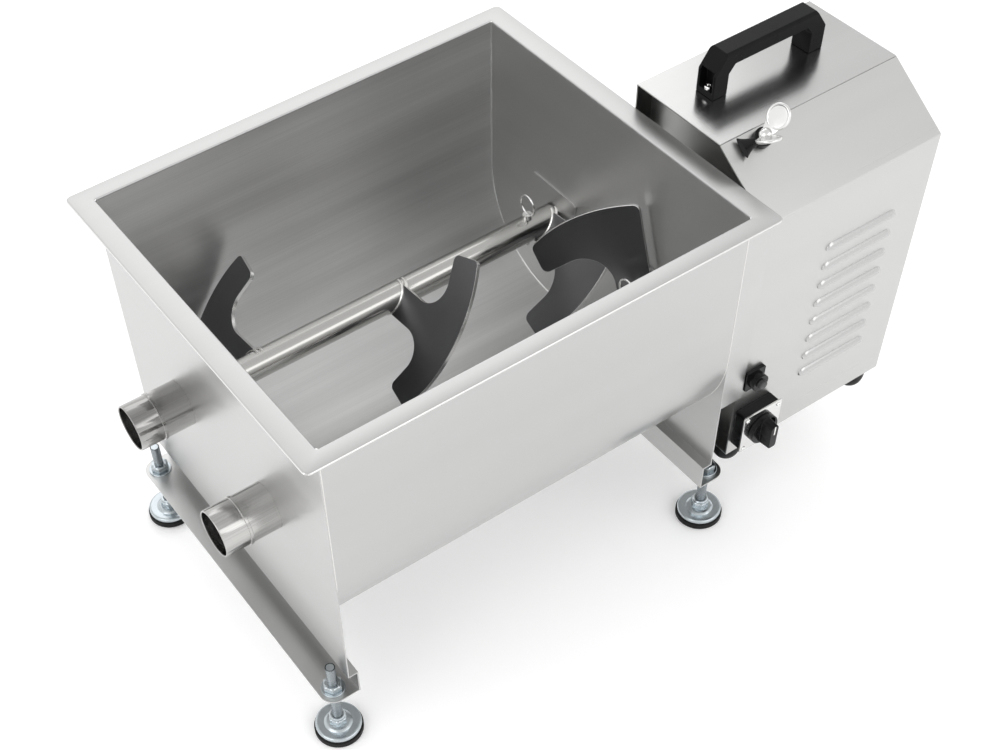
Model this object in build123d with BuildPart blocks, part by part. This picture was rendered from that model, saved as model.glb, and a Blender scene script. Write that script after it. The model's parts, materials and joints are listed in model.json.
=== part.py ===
from build123d import *
import os
from math import acos, asin, atan2, cos, degrees, pi, radians, sin, sqrt, tan

os.makedirs("parts", exist_ok=True)

# Driving sizes of the tank, in mm
sheet = 1.5
tank_length = 449.5
tank_half_width = 190.0
rim_height = 422.0
rim_reach_end = 20.5
rim_reach_side = 17.5
rim_corner = 4.0
hem_width = 7.0
hem_thick = 1.3
trough_overlap = 60.0
shaft_height = 250.0
paddle_clearance = 4.0

# Foot bars and levelling feet
ledge_height = 100.0
ledge_depth = 10.0
foot_bar_height = 72.0
foot_flange_reach = 25.0
foot_flange_corner = 15.0
stud_out = 9.5
stud_inset = 15.0
stud_radius = 5.0
stud_top = 108.0
stud_clearance = 0.1
pad_radius = 25.0
pad_height = 8.0
dish_height = 6.0
dish_edge = 2.4
dish_inset = 1.5
pad_edge = 1.0
stud_lead = 1.5
dish_flat = 12.0
boss_height = 12.0
nut_across = 17.0
nut_height = 8.0
washer_radius = 12.0
washer_thick = 2.0

# Shafts, paddles and their seats
tube_radius = 14.0
stub_shaft_radius = 12.0
slip_fit = 0.05
running_fit = 0.05
paddle_thick = 4.0
paddle_pitch = 38.0
paddle_first = 78.0
paddle_second = 245.0
housing_radius = 23.5
housing_wall = 1.75
housing_length = 58.0
bead_offset = 31.0
bead_height = 1.0
bead_width = 3.0
bush_recess = 14.0
bush_lead = 2.0
tube_end_gap = 3.0
hub_plate_size = 72.0
hub_plate_thick = 2.0
hub_plate_corner = 3.0
hub_gap = 2.0
seal_radius = 20.0
pin_radius = 3.0
pin_from_wall = 35.0
stub_past_pin = 12.0
pin_tail = 7.0
pin_lead = 1.0
pin_head_height = 5.0
pin_head_radius = 5.0
ring_radius = 11.0
ring_wire = 1.2

# Gear train behind the drive-side end plate
pressure_angle = 20.0
root_depth = 1.25
main_teeth = 24
idler_teeth = 20
gear_width = 16.0
gear_backlash = 0.1
case_plate = 4.0
case_wall = 3.0
case_depth = 36.0
gear_gap = 1.5
bearing_radius = 17.0
bush_flange = 2.0
idler_pin_radius = 6.0
dog_width = 8.0
dog_depth = 7.0
dog_clearance = 0.2

# Drive unit
drive_length = 213.0
drive_gap = 21.0
drive_inset = 0.5
drive_far = 6.0
drive_bottom = 100.0
drive_top = 446.0
drive_slope_height = 46.0
drive_slope_depth = 69.5
seam = 1.4
drive_plate_thick = 3.0
drive_plate_gap = 3.5
bench_foot_radius = 15.0
bench_foot_height = 25.0
bench_foot_inset = 18.0
bench_foot_taper = 8.0
standoff_radius = 9.0
dowel_radius = 6.0
dowel_length = 10.0
dowel_lead = 2.0
dowel_near_inset = 29.0
dowel_far_inset = 15.0
dowel_rise = 10.0
dowel_drop = 25.0
gearbox_size = 104.0
gearbox_corner = 13.0
gearbox_length = 58.0
motor_radius = 52.0
motor_length = 104.0
motor_rib = 3.0
motor_ribs = 12
motor_rib_length = 52.0
capacitor_radius = 17.0
capacitor_length = 70.0
capacitor_gap = 8.5
capacitor_edge = 2.0

# Louvres in the near side of the drive unit
louvre_count = 8
louvre_length = 88.0
louvre_fill = 0.555
louvre_rise = 4.0
louvre_taper = 30.0
louvre_from_bottom = 64.0
louvre_from_bend = 72.0
louvre_centre = 130.5

# Band that laps over the drive unit
band_reach = 26.5
band_bottom = 183.0
band_chamfer = 6.0

# Handle
handle_length = 133.0
handle_width = 23.0
handle_height = 42.0
handle_leg = 17.0
handle_bar = 13.0
handle_slope = 13.0
handle_shoulder = 24.0
handle_from_left = 36.0
handle_middle = 57.0
handle_edge = 2.5
handle_wall = 3.0
pocket_depth = 9.0
pocket_height = 20.0
pocket_floor = 6.0
handle_screw_radius = 4.0
handle_screw_head = 3.0

# Switch, breaker and wing screw
switch_size = 50.0
switch_from_left = 26.0
switch_centre_height = 140.0
switch_box_depth = 14.0
switch_box_size = 47.0
switch_corner = 3.0
switch_screw_spacing = 40.0
switch_screw_radius = 2.4
switch_screw_head = 1.2
switch_plate_thick = 2.0
knob_radius = 17.0
knob_base = 6.0
knob_grip = 13.0
knob_grip_width = 12.0
knob_grip_length = 32.0
knob_grip_corner = 4.0
knob_taper = 5.0
knob_gap = 0.4
breaker_from_left = 18.5
breaker_height = 203.0
breaker_size = 24.0
breaker_corner = 2.0
breaker_base = 4.0
breaker_collar = 9.5
breaker_collar_height = 8.0
button_radius = 5.0
button_length = 8.0
button_travel = 3.0
button_out = 4.3
button_edge = 0.8
button_gap = 0.3
wing_from_left = 39.5
wing_down_slope = 12.0
wing_shank = 4.0
wing_boss = 7.0
wing_boss_height = 8.0
wing_ear = 8.0
wing_ear_out = 14.0
wing_ear_up = 22.0
wing_ear_thick = 2.4
wing_turn = 35.0
keeper_thick = 6.0
keeper_length = 24.0
keeper_mouth = 20.0
keeper_disc = 9.0
keeper_stem = 9.4
keeper_gap = 0.3
wing_nut_depth = 8.0
wing_taper = 12.0
wing_ear_root = 2.7

# Places worked out from the sizes above
lobe_radius = (tank_half_width + trough_overlap / 2) / 2
shaft_spacing = 2 * (tank_half_width - lobe_radius)
gear_module = shaft_spacing / (main_teeth + 2 * idler_teeth)
paddle_radius = lobe_radius - paddle_clearance
half_spacing = shaft_spacing / 2
half_width = tank_half_width + sheet
rim_half = half_width + rim_reach_side
stud_half_span = tank_half_width - stud_inset
drive_near = tank_half_width - drive_inset
drive_ridge = drive_near - drive_slope_depth
drive_bend = drive_top - drive_slope_height
drive_left = tank_length + drive_gap
drive_right = drive_left + drive_length
switch_front = drive_near + switch_box_depth + switch_plate_thick
knob_front = switch_front + knob_gap + knob_base + knob_grip
far_x = -(housing_length + drive_right) / 2 + housing_length
mid_y = (knob_front - rim_half) / 2


def at_x(distance):
    """World X of a distance from the outer face of the stub-side end plate."""
    return far_x + distance


def at_y(distance):
    """World Y of a distance from the middle plane of the tank."""
    return mid_y + distance


def across(distance):
    """Plane facing +X at a distance from the stub-side end plate, centred on the middle plane."""
    return Plane((at_x(distance), mid_y, 0), x_dir=(0, 1, 0), z_dir=(1, 0, 0))


def level(height):
    """Level plane with its origin over the stub-side end plate's face on the middle plane."""
    return Plane((far_x, mid_y, height))


def beside(distance):
    """Upright plane facing -Y at a distance from the middle plane, X from the stub-side plate."""
    return Plane((far_x, at_y(distance), 0), x_dir=(1, 0, 0), z_dir=(0, -1, 0))


def save(builder, name):
    """Label one finished piece and write it."""
    builder.part.label = name
    export_step(builder.part, f"parts/{name}.step")


shaft_places = {"far": half_spacing, "near": -half_spacing}

# Tank shell: straight walls running down into two round troughs with a ridge between them
with BuildPart() as tank_shell:
    with BuildSketch(across(sheet)):
        for size, mode in ((sheet, Mode.ADD), (0, Mode.SUBTRACT)):
            wall_height = rim_height - shaft_height - size
            with Locations((0, shaft_height)):
                wall_align = (Align.CENTER, Align.MIN)
                Rectangle(2 * (tank_half_width + size), wall_height, align=wall_align, mode=mode)
            with Locations((-half_spacing, shaft_height), (half_spacing, shaft_height)):
                Circle(lobe_radius + size, mode=mode)
    extrude(amount=tank_length - 2 * sheet)
save(tank_shell, "tank_shell")

# Rim: flat frame round the mouth with its outer edge hemmed under
rim_length = tank_length + 2 * rim_reach_end
with BuildPart() as rim_frame:
    with BuildSketch(level(rim_height - sheet)):
        with Locations((tank_length / 2, 0)):
            RectangleRounded(rim_length, 2 * rim_half, rim_corner)
            Rectangle(tank_length - 2 * sheet, 2 * tank_half_width, mode=Mode.SUBTRACT)
    extrude(amount=sheet)
    with BuildSketch(level(rim_height - sheet)):
        with Locations((tank_length / 2, 0)):
            RectangleRounded(rim_length, 2 * rim_half, rim_corner)
            Rectangle(rim_length - 2 * hem_width, 2 * (rim_half - hem_width), mode=Mode.SUBTRACT)
    extrude(amount=-hem_thick)
save(rim_frame, "rim_frame")


def end_plate_profile(face, out):
    """Sheet section of an end plate with its foot bar, on an upright X-Z plane."""
    Polyline(
        (face, rim_height - sheet),
        (face, ledge_height),
        (face - out * ledge_depth, ledge_height),
        (face - out * ledge_depth, foot_bar_height),
        (face + out * foot_flange_reach, foot_bar_height),
    )
    offset(amount=sheet, side=Side.LEFT if out < 0 else Side.RIGHT, kind=Kind.INTERSECTION)


stud_places = {
    "near_left": (-stud_out, -stud_half_span),
    "far_left": (-stud_out, stud_half_span),
    "near_right": (tank_length + stud_out, -stud_half_span),
    "far_right": (tank_length + stud_out, stud_half_span),
}

# Stub-side end plate with its foot bar, the two bearing holes and the stud holes
with BuildPart() as end_plate_stub_side:
    with BuildSketch(beside(0)):
        with BuildLine():
            end_plate_profile(0, -1)
        make_face()
    extrude(amount=half_width, both=True)
    flange_corners = end_plate_stub_side.edges().filter_by(Axis.Z).group_by(Axis.X)[0]
    fillet(flange_corners, foot_flange_corner)
    with BuildSketch(across(-sheet)):
        with Locations((-half_spacing, shaft_height), (half_spacing, shaft_height)):
            Circle(housing_radius)
    extrude(amount=3 * sheet, mode=Mode.SUBTRACT)
    with BuildSketch(level(foot_bar_height - sheet)):
        with Locations(stud_places["near_left"], stud_places["far_left"]):
            Circle(stud_radius + stud_clearance)
    extrude(amount=3 * sheet, mode=Mode.SUBTRACT)
save(end_plate_stub_side, "end_plate_stub_side")

# Drive-side end plate: the same foot bar, and a band that laps over the drive unit's near side
with BuildPart() as end_plate_drive_side:
    with BuildSketch(beside(0)):
        with BuildLine():
            end_plate_profile(tank_length, 1)
        make_face()
    extrude(amount=half_width, both=True)
    flange_corners = end_plate_drive_side.edges().filter_by(Axis.Z).group_by(Axis.X)[-1]
    fillet(flange_corners, foot_flange_corner)
    with BuildSketch(beside(-half_width)):
        with BuildLine():
            Polyline(
                (tank_length - sheet, band_bottom),
                (tank_length + band_reach, band_bottom),
                (tank_length + band_reach, rim_height - sheet - hem_thick - band_chamfer),
                (tank_length + band_reach - band_chamfer, rim_height - sheet - hem_thick),
                (tank_length - sheet, rim_height - sheet - hem_thick),
                close=True,
            )
        make_face()
    extrude(amount=-sheet)
    with BuildSketch(across(tank_length - 2 * sheet)):
        with Locations((-half_spacing, shaft_height), (half_spacing, shaft_height)):
            Circle(seal_radius)
    extrude(amount=3 * sheet, mode=Mode.SUBTRACT)
    with BuildSketch(level(foot_bar_height - sheet)):
        with Locations(stud_places["near_right"], stud_places["far_right"]):
            Circle(stud_radius + stud_clearance)
    extrude(amount=3 * sheet, mode=Mode.SUBTRACT)
save(end_plate_drive_side, "end_plate_drive_side")

# Bearing housings: open stub tubes with a raised bead, welded into the stub-side end plate
with BuildPart() as bearing_housings:
    for place in shaft_places.values():
        axis_start = (at_x(0), at_y(place), shaft_height)
        with BuildSketch(Plane(axis_start, x_dir=(1, 0, 0), z_dir=(0, -1, 0))):
            with Locations((-housing_length, housing_radius - housing_wall)):
                Rectangle(housing_length + sheet, housing_wall, align=(Align.MIN, Align.MIN))
            with Locations((-bead_offset, housing_radius)):
                Rectangle(bead_width, bead_height, align=(Align.CENTER, Align.MIN))
        revolve(axis=Axis(axis_start, (1, 0, 0)))
    mouths = bearing_housings.edges().filter_by(GeomType.CIRCLE).group_by(Axis.X)[0]
    chamfer(mouths, housing_wall / 4)
save(bearing_housings, "bearing_housings")

# Plastic bushes inside the housings
with BuildPart() as bearing_bushes:
    with BuildSketch(across(-housing_length + bush_recess)):
        with Locations(*[(place, shaft_height) for place in shaft_places.values()]):
            Circle(housing_radius - housing_wall)
            Circle(tube_radius + running_fit, mode=Mode.SUBTRACT)
    extrude(amount=housing_length - bush_recess + sheet)
    bush_mouths = bearing_bushes.edges().filter_by(GeomType.CIRCLE).group_by(Axis.X)[0]
    chamfer(bush_mouths.group_by(SortBy.RADIUS)[0], bush_lead)
save(bearing_bushes, "bearing_bushes")

# Hub plates and shaft seals on the drive-side wall
wall_inside = tank_length - sheet
with BuildPart() as hub_plates:
    with BuildSketch(across(wall_inside - hub_plate_thick)):
        with Locations(*[(place, shaft_height) for place in shaft_places.values()]):
            Rectangle(hub_plate_size, hub_plate_size)
            Circle(stub_shaft_radius + running_fit, mode=Mode.SUBTRACT)
    extrude(amount=hub_plate_thick)
    chamfer(hub_plates.edges().filter_by(Axis.X), hub_plate_corner)
save(hub_plates, "hub_plates")

with BuildPart() as shaft_seals:
    with BuildSketch(across(wall_inside)):
        with Locations(*[(place, shaft_height) for place in shaft_places.values()]):
            Circle(seal_radius)
            Circle(stub_shaft_radius + running_fit, mode=Mode.SUBTRACT)
    extrude(amount=sheet)
save(shaft_seals, "shaft_seals")

# Paddle shafts: tubes closed at the stub side, drilled for the lynch pin at the drive side
tube_start = -housing_length + bush_recess + tube_end_gap
tube_end = wall_inside - hub_plate_thick - hub_gap
pin_x = wall_inside - pin_from_wall
for side, place in shaft_places.items():
    with BuildPart() as tube:
        with BuildSketch(across(tube_start)):
            with Locations((place, shaft_height)):
                Circle(tube_radius)
        extrude(amount=tube_end - tube_start)
        with BuildSketch(across(tube_start + 2 * sheet)):
            with Locations((place, shaft_height)):
                Circle(stub_shaft_radius + slip_fit)
        extrude(amount=tube_end - tube_start, mode=Mode.SUBTRACT)
        with BuildSketch(level(shaft_height - 2 * tube_radius)):
            with Locations((pin_x, place)):
                Circle(pin_radius + running_fit)
        extrude(amount=4 * tube_radius, mode=Mode.SUBTRACT)
    save(tube, f"paddle_shaft_{side}")

# Paddles: crescent plates set at a pitch to the shaft, with two round notches beside the neck
# Their outlines are given as shares of the radius that they sweep
pitch = radians(paddle_pitch)
corner_band = 0.98
crescent = {
    "chord": 0.774,
    "tip": (0.5, 0.698),
    "notch": (0.373, 0.377),
    "notch_radius": 0.226,
    "corner": 0.057,
}
scraper = {
    "chord": 0.953,
    "tip": (0.377, 0.877),
    "notch": (0.226, 0.491),
    "notch_radius": 0.283,
    "corner": 0.066,
    "straight": 0.132,
}


def sized(shares):
    """Outline sizes in mm from their shares of the paddle radius."""
    points = {name: shares[name] for name in ("tip", "notch")}
    lengths = {name: share * paddle_radius for name, share in shares.items() if name not in points}
    places = {name: (x * paddle_radius, y * paddle_radius) for name, (x, y) in points.items()}
    return {**lengths, **places}


def rim_point(chord):
    """Point of the outer edge at a distance along the chord: an ellipse in the tilted plate."""
    return (sqrt(paddle_radius**2 - (chord * cos(pitch)) ** 2), chord)


def horn_edge(form, hand):
    """Tip, inner edge and round notch of one horn, from the outer edge down to the neck."""
    tip = form["tip"]
    notch = form["notch"]
    radius = form["notch_radius"]
    reach = sqrt((tip[0] - notch[0]) ** 2 + (tip[1] - notch[1]) ** 2)
    bearing = atan2(tip[1] - notch[1], tip[0] - notch[0])
    touch = bearing - acos(radius / reach)
    start = (notch[0] + radius * cos(touch), notch[1] + radius * sin(touch))
    middle_angle = (touch - pi / 2) / 2
    middle = (notch[0] + radius * cos(middle_angle), notch[1] + radius * sin(middle_angle))
    end = (notch[0], notch[1] - radius)
    outer = rim_point(form["chord"])
    Polyline((outer[0], hand * outer[1]), (tip[0], hand * tip[1]), (start[0], hand * start[1]))
    ThreePointArc(
        (start[0], hand * start[1]), (middle[0], hand * middle[1]), (end[0], hand * end[1])
    )
    Line((end[0], hand * end[1]), (0, hand * end[1]))
    return end[1]


def outer_edge(low, high):
    """Elliptical outer edge between two chord distances."""
    start, end = [degrees(asin(chord * cos(pitch) / paddle_radius)) for chord in (low, high)]
    long_radius = paddle_radius / cos(pitch)
    EllipticalCenterArc((0, 0), paddle_radius, long_radius, start_angle=start, arc_size=end - start)


def paddle_plane(distance, place, phase, hand):
    """Plane of a paddle: local X points out from the shaft, local Y along the chord towards -X."""
    angle = radians(phase)
    outward = Vector(0, cos(angle), sin(angle))
    turning = Vector(0, -sin(angle), cos(angle))
    chord = turning * (hand * cos(pitch)) + Vector(-sin(pitch), 0, 0)
    centre = (at_x(distance), at_y(place), shaft_height)
    return Plane(centre, x_dir=outward, z_dir=outward.cross(chord))


paddle_end_x = wall_inside - hub_plate_thick - hub_gap - paddle_thick * cos(pitch) / 2
paddle_places = {
    "far": (
        (paddle_first, -8.0, -1, crescent),
        (paddle_second, 175.0, 1, crescent),
        (paddle_end_x, 175.0, 1, scraper),
    ),
    "near": (
        (paddle_first, 250.0, 1, crescent),
        (paddle_second, 250.0, -1, crescent),
        (paddle_end_x, 70.0, -1, scraper),
    ),
}
for side, rows in paddle_places.items():
    for number, (distance, phase, hand, shares) in enumerate(rows, start=1):
        form = sized(shares)
        if "straight" in form:
            distance = distance - form["straight"] * sin(pitch)
        with BuildPart() as paddle:
            with BuildSketch(paddle_plane(distance, shaft_places[side], phase, hand)) as outline:
                with BuildLine():
                    neck = horn_edge(form, 1)
                    if "straight" in form:
                        edge = form["straight"]
                        outer_edge(-edge, form["chord"])
                        Polyline(rim_point(-edge), (0, -edge), (0, neck))
                    else:
                        outer_edge(-form["chord"], form["chord"])
                        horn_edge(form, -1)
                        Line((0, neck), (0, -neck))
                make_face()
                tip_x, tip_y = [corner_band * size for size in form["tip"]]
                far_corners = outline.vertices().filter_by(lambda v: v.X > tip_x)
                tips = [v for v in far_corners if abs(v.Y) > tip_y or v.X > corner_band * paddle_radius]
                fillet(tips, form["corner"])
            extrude(amount=paddle_thick / 2, both=True)
            with BuildSketch(across(distance - 2 * tube_radius)):
                with Locations((shaft_places[side], shaft_height)):
                    Circle(tube_radius)
            extrude(amount=4 * tube_radius, mode=Mode.SUBTRACT)
        save(paddle, f"paddle_{side}_{number}")

# Lynch pins through the tubes and the drive stubs, each with its spring ring
for side, place in shaft_places.items():
    with BuildPart() as lynch_pin:
        with BuildSketch(level(shaft_height - tube_radius - pin_tail)):
            with Locations((pin_x, place)):
                Circle(pin_radius)
        extrude(amount=2 * tube_radius + pin_tail + running_fit)
        chamfer(lynch_pin.edges().group_by(Axis.Z)[0], pin_lead)
        with BuildSketch(level(shaft_height + tube_radius + running_fit)):
            with Locations((pin_x, place)):
                Circle(pin_head_radius)
        extrude(amount=pin_head_height)
        ring_centre = (at_x(pin_x), at_y(place), shaft_height + tube_radius + pin_head_height + ring_radius)
        with Locations(Plane(ring_centre, z_dir=(1, 0, 0))):
            Torus(ring_radius, ring_wire)
    save(lynch_pin, f"lynch_pin_{side}")

# Gear train: a gear on each drive stub and two idlers between them, so that the shafts counter-rotate
case_left = tank_length
case_right = case_left + case_depth
gear_left = case_left + case_plate + bush_flange + gear_gap
main_pitch_radius = gear_module * main_teeth / 2
idler_pitch_radius = gear_module * idler_teeth / 2
idler_place = half_spacing - main_pitch_radius - idler_pitch_radius
pressure = radians(pressure_angle)


def flank(teeth):
    """Radius and half angle of the points of an involute flank, from the root to the tip."""
    middle = gear_module * teeth / 2
    base = middle * cos(pressure)
    root = middle - root_depth * gear_module
    half_pitch = pi / (2 * teeth) - gear_backlash / middle
    points = [(root, half_pitch + tan(pressure) - pressure)]
    for radius in (base, middle, middle + gear_module):
        angle = acos(min(1.0, base / radius))
        points.append((radius, half_pitch + (tan(pressure) - pressure) - (tan(angle) - angle)))
    return points


def tooth(teeth):
    """Outline of one tooth that points along local X, reaching a little into the root circle."""
    side_points = flank(teeth)
    left = [(radius * cos(turn), radius * sin(turn)) for radius, turn in side_points]
    right = [(x, -y) for x, y in reversed(left)]
    inner = side_points[0][0] - gear_module / 4
    Polyline(*left, *right, (inner, right[-1][1]), (inner, left[0][1]), close=True)


gear_table = {
    "gear_far": (half_spacing, main_teeth, 0.0, stub_shaft_radius),
    "idler_far": (idler_place, idler_teeth, 180 / idler_teeth, idler_pin_radius + running_fit),
    "idler_near": (-idler_place, idler_teeth, 0.0, idler_pin_radius + running_fit),
    "gear_near": (-half_spacing, main_teeth, 180 / main_teeth, stub_shaft_radius),
}
for name, (place, teeth, turn, bore) in gear_table.items():
    with BuildPart() as gear:
        gear_plane = Plane((at_x(gear_left), at_y(place), shaft_height), x_dir=(0, 1, 0), z_dir=(1, 0, 0))
        with BuildSketch(gear_plane):
            Circle(flank(teeth)[0][0])
            with BuildSketch(Plane.XY, mode=Mode.PRIVATE) as tooth_shape:
                with BuildLine():
                    tooth(teeth)
                make_face()
            with PolarLocations(0, teeth, start_angle=turn):
                add(tooth_shape.sketch)
            Circle(bore, mode=Mode.SUBTRACT)
        extrude(amount=gear_width)
    save(gear, name)

# Drive stubs: from inside the paddle tubes, through the wall and the gear case
stub_start = pin_x - stub_past_pin
stub_end = {"far": case_right - case_wall - gear_gap, "near": case_right}
for side, place in shaft_places.items():
    with BuildPart() as stub:
        with BuildSketch(across(stub_start)):
            with Locations((place, shaft_height)):
                Circle(stub_shaft_radius)
        extrude(amount=stub_end[side] - stub_start)
        with BuildSketch(level(shaft_height - 2 * tube_radius)):
            with Locations((pin_x, place)):
                Circle(pin_radius + running_fit)
        extrude(amount=4 * tube_radius, mode=Mode.SUBTRACT)
        if side == "near":
            with BuildSketch(across(stub_end[side] - dog_depth)):
                with Locations((place, shaft_height)):
                    Rectangle(4 * stub_shaft_radius, dog_width)
            extrude(amount=2 * dog_depth, mode=Mode.SUBTRACT)
    save(stub, f"drive_stub_{side}")

# Gear case: a flat plate on the end wall and a round-ended cover over the gears
case_inside = main_pitch_radius + gear_module + gear_gap
case_outside = case_inside + case_wall
with BuildPart() as gear_case_plate:
    with BuildSketch(across(case_left)):
        with Locations((0, shaft_height)):
            SlotCenterToCenter(shaft_spacing, 2 * case_outside)
        with Locations(*[(place, shaft_height) for place in shaft_places.values()]):
            Circle(bearing_radius, mode=Mode.SUBTRACT)
        with Locations((idler_place, shaft_height), (-idler_place, shaft_height)):
            Circle(idler_pin_radius, mode=Mode.SUBTRACT)
    extrude(amount=case_plate)
save(gear_case_plate, "gear_case_plate")

with BuildPart() as gear_case_cover:
    with BuildSketch(across(case_left + case_plate)):
        with Locations((0, shaft_height)):
            SlotCenterToCenter(shaft_spacing, 2 * case_outside)
    extrude(amount=case_depth - case_plate)
    with BuildSketch(across(case_left + case_plate)):
        with Locations((0, shaft_height)):
            SlotCenterToCenter(shaft_spacing, 2 * case_inside)
    extrude(amount=case_depth - case_plate - case_wall, mode=Mode.SUBTRACT)
    with BuildSketch(across(case_right - case_wall)):
        with Locations((-half_spacing, shaft_height)):
            Circle(bearing_radius)
        with Locations((idler_place, shaft_height), (-idler_place, shaft_height)):
            Circle(idler_pin_radius)
    extrude(amount=case_wall, mode=Mode.SUBTRACT)
    rounded = gear_case_cover.edges().group_by(Axis.X)[-1]
    long_edges = rounded.filter_by(lambda e: e.length > shaft_spacing / 2)
    fillet(long_edges, case_wall / 2)
save(gear_case_cover, "gear_case_cover")

# Bronze bushes that carry the drive stubs: flanged ones in the plate, one in the cover
with BuildPart() as case_bushes:
    with BuildSketch(across(case_left)):
        with Locations(*[(place, shaft_height) for place in shaft_places.values()]):
            Circle(bearing_radius)
    extrude(amount=case_plate)
    with BuildSketch(across(case_left + case_plate)):
        with Locations(*[(place, shaft_height) for place in shaft_places.values()]):
            Circle(bearing_radius + bush_flange)
    extrude(amount=bush_flange)
    with BuildSketch(across(case_right - case_wall)):
        with Locations((-half_spacing, shaft_height)):
            Circle(bearing_radius)
    extrude(amount=case_wall)
    with BuildSketch(across(case_left)):
        with Locations(*[(place, shaft_height) for place in shaft_places.values()]):
            Circle(stub_shaft_radius + running_fit)
    extrude(amount=case_depth, mode=Mode.SUBTRACT)
save(case_bushes, "case_bushes")

# Fixed pins that carry the idlers
with BuildPart() as idler_pins:
    with BuildSketch(across(case_left)):
        with Locations((idler_place, shaft_height), (-idler_place, shaft_height)):
            Circle(idler_pin_radius)
    extrude(amount=case_depth)
save(idler_pins, "idler_pins")

# Standoffs on the end plate with dowels that locate the drive unit
plate_left = case_right + drive_plate_gap
plate_right = plate_left + drive_plate_thick
dowel_high = (shaft_height + drive_bend) / 2 + dowel_rise
dowel_low = (shaft_height + drive_bottom) / 2 - dowel_drop
dowel_places = (
    (-drive_near + dowel_near_inset, dowel_high),
    (-drive_far - dowel_far_inset, dowel_high),
    (-(drive_near + drive_far) / 2, dowel_low),
)
with BuildPart() as drive_standoffs:
    with BuildSketch(across(tank_length)):
        with Locations(*dowel_places):
            Circle(standoff_radius)
    extrude(amount=plate_left - tank_length)
    with BuildSketch(across(plate_left)):
        with Locations(*dowel_places):
            Circle(dowel_radius)
    extrude(amount=drive_plate_thick + dowel_length)
    chamfer(drive_standoffs.edges().group_by(Axis.X)[-1], dowel_lead)
save(drive_standoffs, "drive_standoffs")

# Drive unit covers: near side with its sloping front, and a top that folds down the far side
near_outline = ((-drive_near, drive_bottom), (-drive_near, drive_bend), (-drive_ridge, drive_top))
far_outline = ((-drive_ridge, drive_top), (-drive_far, drive_top), (-drive_far, drive_bottom))
slope_angle = atan2(drive_top - drive_bend, drive_near - drive_ridge)
slope_out = Vector(0, -sin(slope_angle), cos(slope_angle))
slope_up = Vector(0, cos(slope_angle), sin(slope_angle))
wing_foot = (
    at_x(drive_left + wing_from_left),
    at_y(-drive_ridge) - wing_down_slope * slope_up.Y,
    drive_top - wing_down_slope * slope_up.Z,
)
wing_plane = Plane(wing_foot, x_dir=(1, 0, 0), z_dir=slope_out)
louvre_low = drive_bottom + louvre_from_bottom
louvre_high = drive_bend - louvre_from_bend
louvre_step = (louvre_high - louvre_low) / (louvre_count - 1)
louvre_height = louvre_fill * louvre_step
louvre_middle = (drive_left + louvre_centre, (louvre_high + louvre_low) / 2)
with BuildPart() as drive_near_cover:
    with BuildSketch(across(drive_left)):
        with BuildLine():
            ridge_y = -drive_ridge - seam * cos(slope_angle)
            ridge_z = drive_top - seam * sin(slope_angle)
            Polyline(near_outline[0], near_outline[1], (ridge_y, ridge_z))
            offset(amount=sheet, side=Side.RIGHT, kind=Kind.INTERSECTION)
        make_face()
    extrude(amount=drive_length)
    with BuildSketch(beside(-drive_near)):
        with Locations(louvre_middle):
            with GridLocations(0, louvre_step, 1, louvre_count):
                SlotOverall(louvre_length, louvre_height)
    extrude(amount=louvre_rise, taper=louvre_taper)
    with BuildSketch(beside(-drive_near)):
        with Locations(louvre_middle):
            with GridLocations(0, louvre_step, 1, louvre_count):
                SlotOverall(louvre_length - 2 * sheet, louvre_height - 2 * sheet)
    extrude(amount=louvre_rise - sheet, taper=louvre_taper, mode=Mode.SUBTRACT)
    with BuildSketch(beside(-drive_near + sheet)):
        with Locations(louvre_middle):
            with GridLocations(0, louvre_step, 1, louvre_count):
                SlotOverall(louvre_length - 2 * sheet, louvre_height - 2 * sheet)
    extrude(amount=sheet, mode=Mode.SUBTRACT)
    with BuildSketch(beside(-drive_near)):
        with Locations(louvre_middle):
            with GridLocations(0, louvre_step, 1, louvre_count):
                with Locations((0, -louvre_height / 2)):
                    Rectangle(louvre_length - louvre_height, louvre_height)
    extrude(amount=louvre_rise, mode=Mode.SUBTRACT)
    with BuildSketch(wing_plane.offset(-2 * sheet)):
        Circle(wing_shank + slip_fit)
    extrude(amount=4 * sheet, mode=Mode.SUBTRACT)
save(drive_near_cover, "drive_near_cover")

with BuildPart() as drive_top_cover:
    with BuildSketch(across(drive_left)):
        with BuildLine():
            Polyline(*far_outline)
            offset(amount=sheet, side=Side.RIGHT, kind=Kind.INTERSECTION)
        make_face()
    extrude(amount=drive_length)
    with BuildSketch(beside(-drive_far - 2 * sheet)):
        with Locations((drive_left, shaft_height)):
            Rectangle(2 * (plate_left - drive_left), 2 * (case_outside + gear_gap))
    extrude(amount=-4 * sheet, mode=Mode.SUBTRACT)
save(drive_top_cover, "drive_top_cover")


def drive_section():
    """Inside outline of the drive unit's covers."""
    inner = sheet
    drop = inner * tan((pi / 2 - slope_angle) / 2)
    inset = inner * tan(slope_angle / 2)
    Polyline(
        (-drive_near + inner, drive_bottom + inner),
        (-drive_near + inner, drive_bend - drop),
        (-drive_ridge + inset, drive_top - inner),
        (-drive_far - inner, drive_top - inner),
        (-drive_far - inner, drive_bottom + inner),
        close=True,
    )


# End panel, mounting plate and floor of the drive unit
with BuildPart() as drive_end_panel:
    with BuildSketch(across(drive_right - sheet)):
        with BuildLine():
            drive_section()
        make_face()
    extrude(amount=sheet)
save(drive_end_panel, "drive_end_panel")

gearbox_face = (-half_spacing, shaft_height)
with BuildPart() as drive_mounting_plate:
    with BuildSketch(across(plate_left)):
        with BuildLine():
            drive_section()
        make_face()
        with Locations(*dowel_places):
            Circle(dowel_radius + slip_fit, mode=Mode.SUBTRACT)
        with Locations(gearbox_face):
            Circle(2 * stub_shaft_radius, mode=Mode.SUBTRACT)
    extrude(amount=drive_plate_thick)
save(drive_mounting_plate, "drive_mounting_plate")

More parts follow.
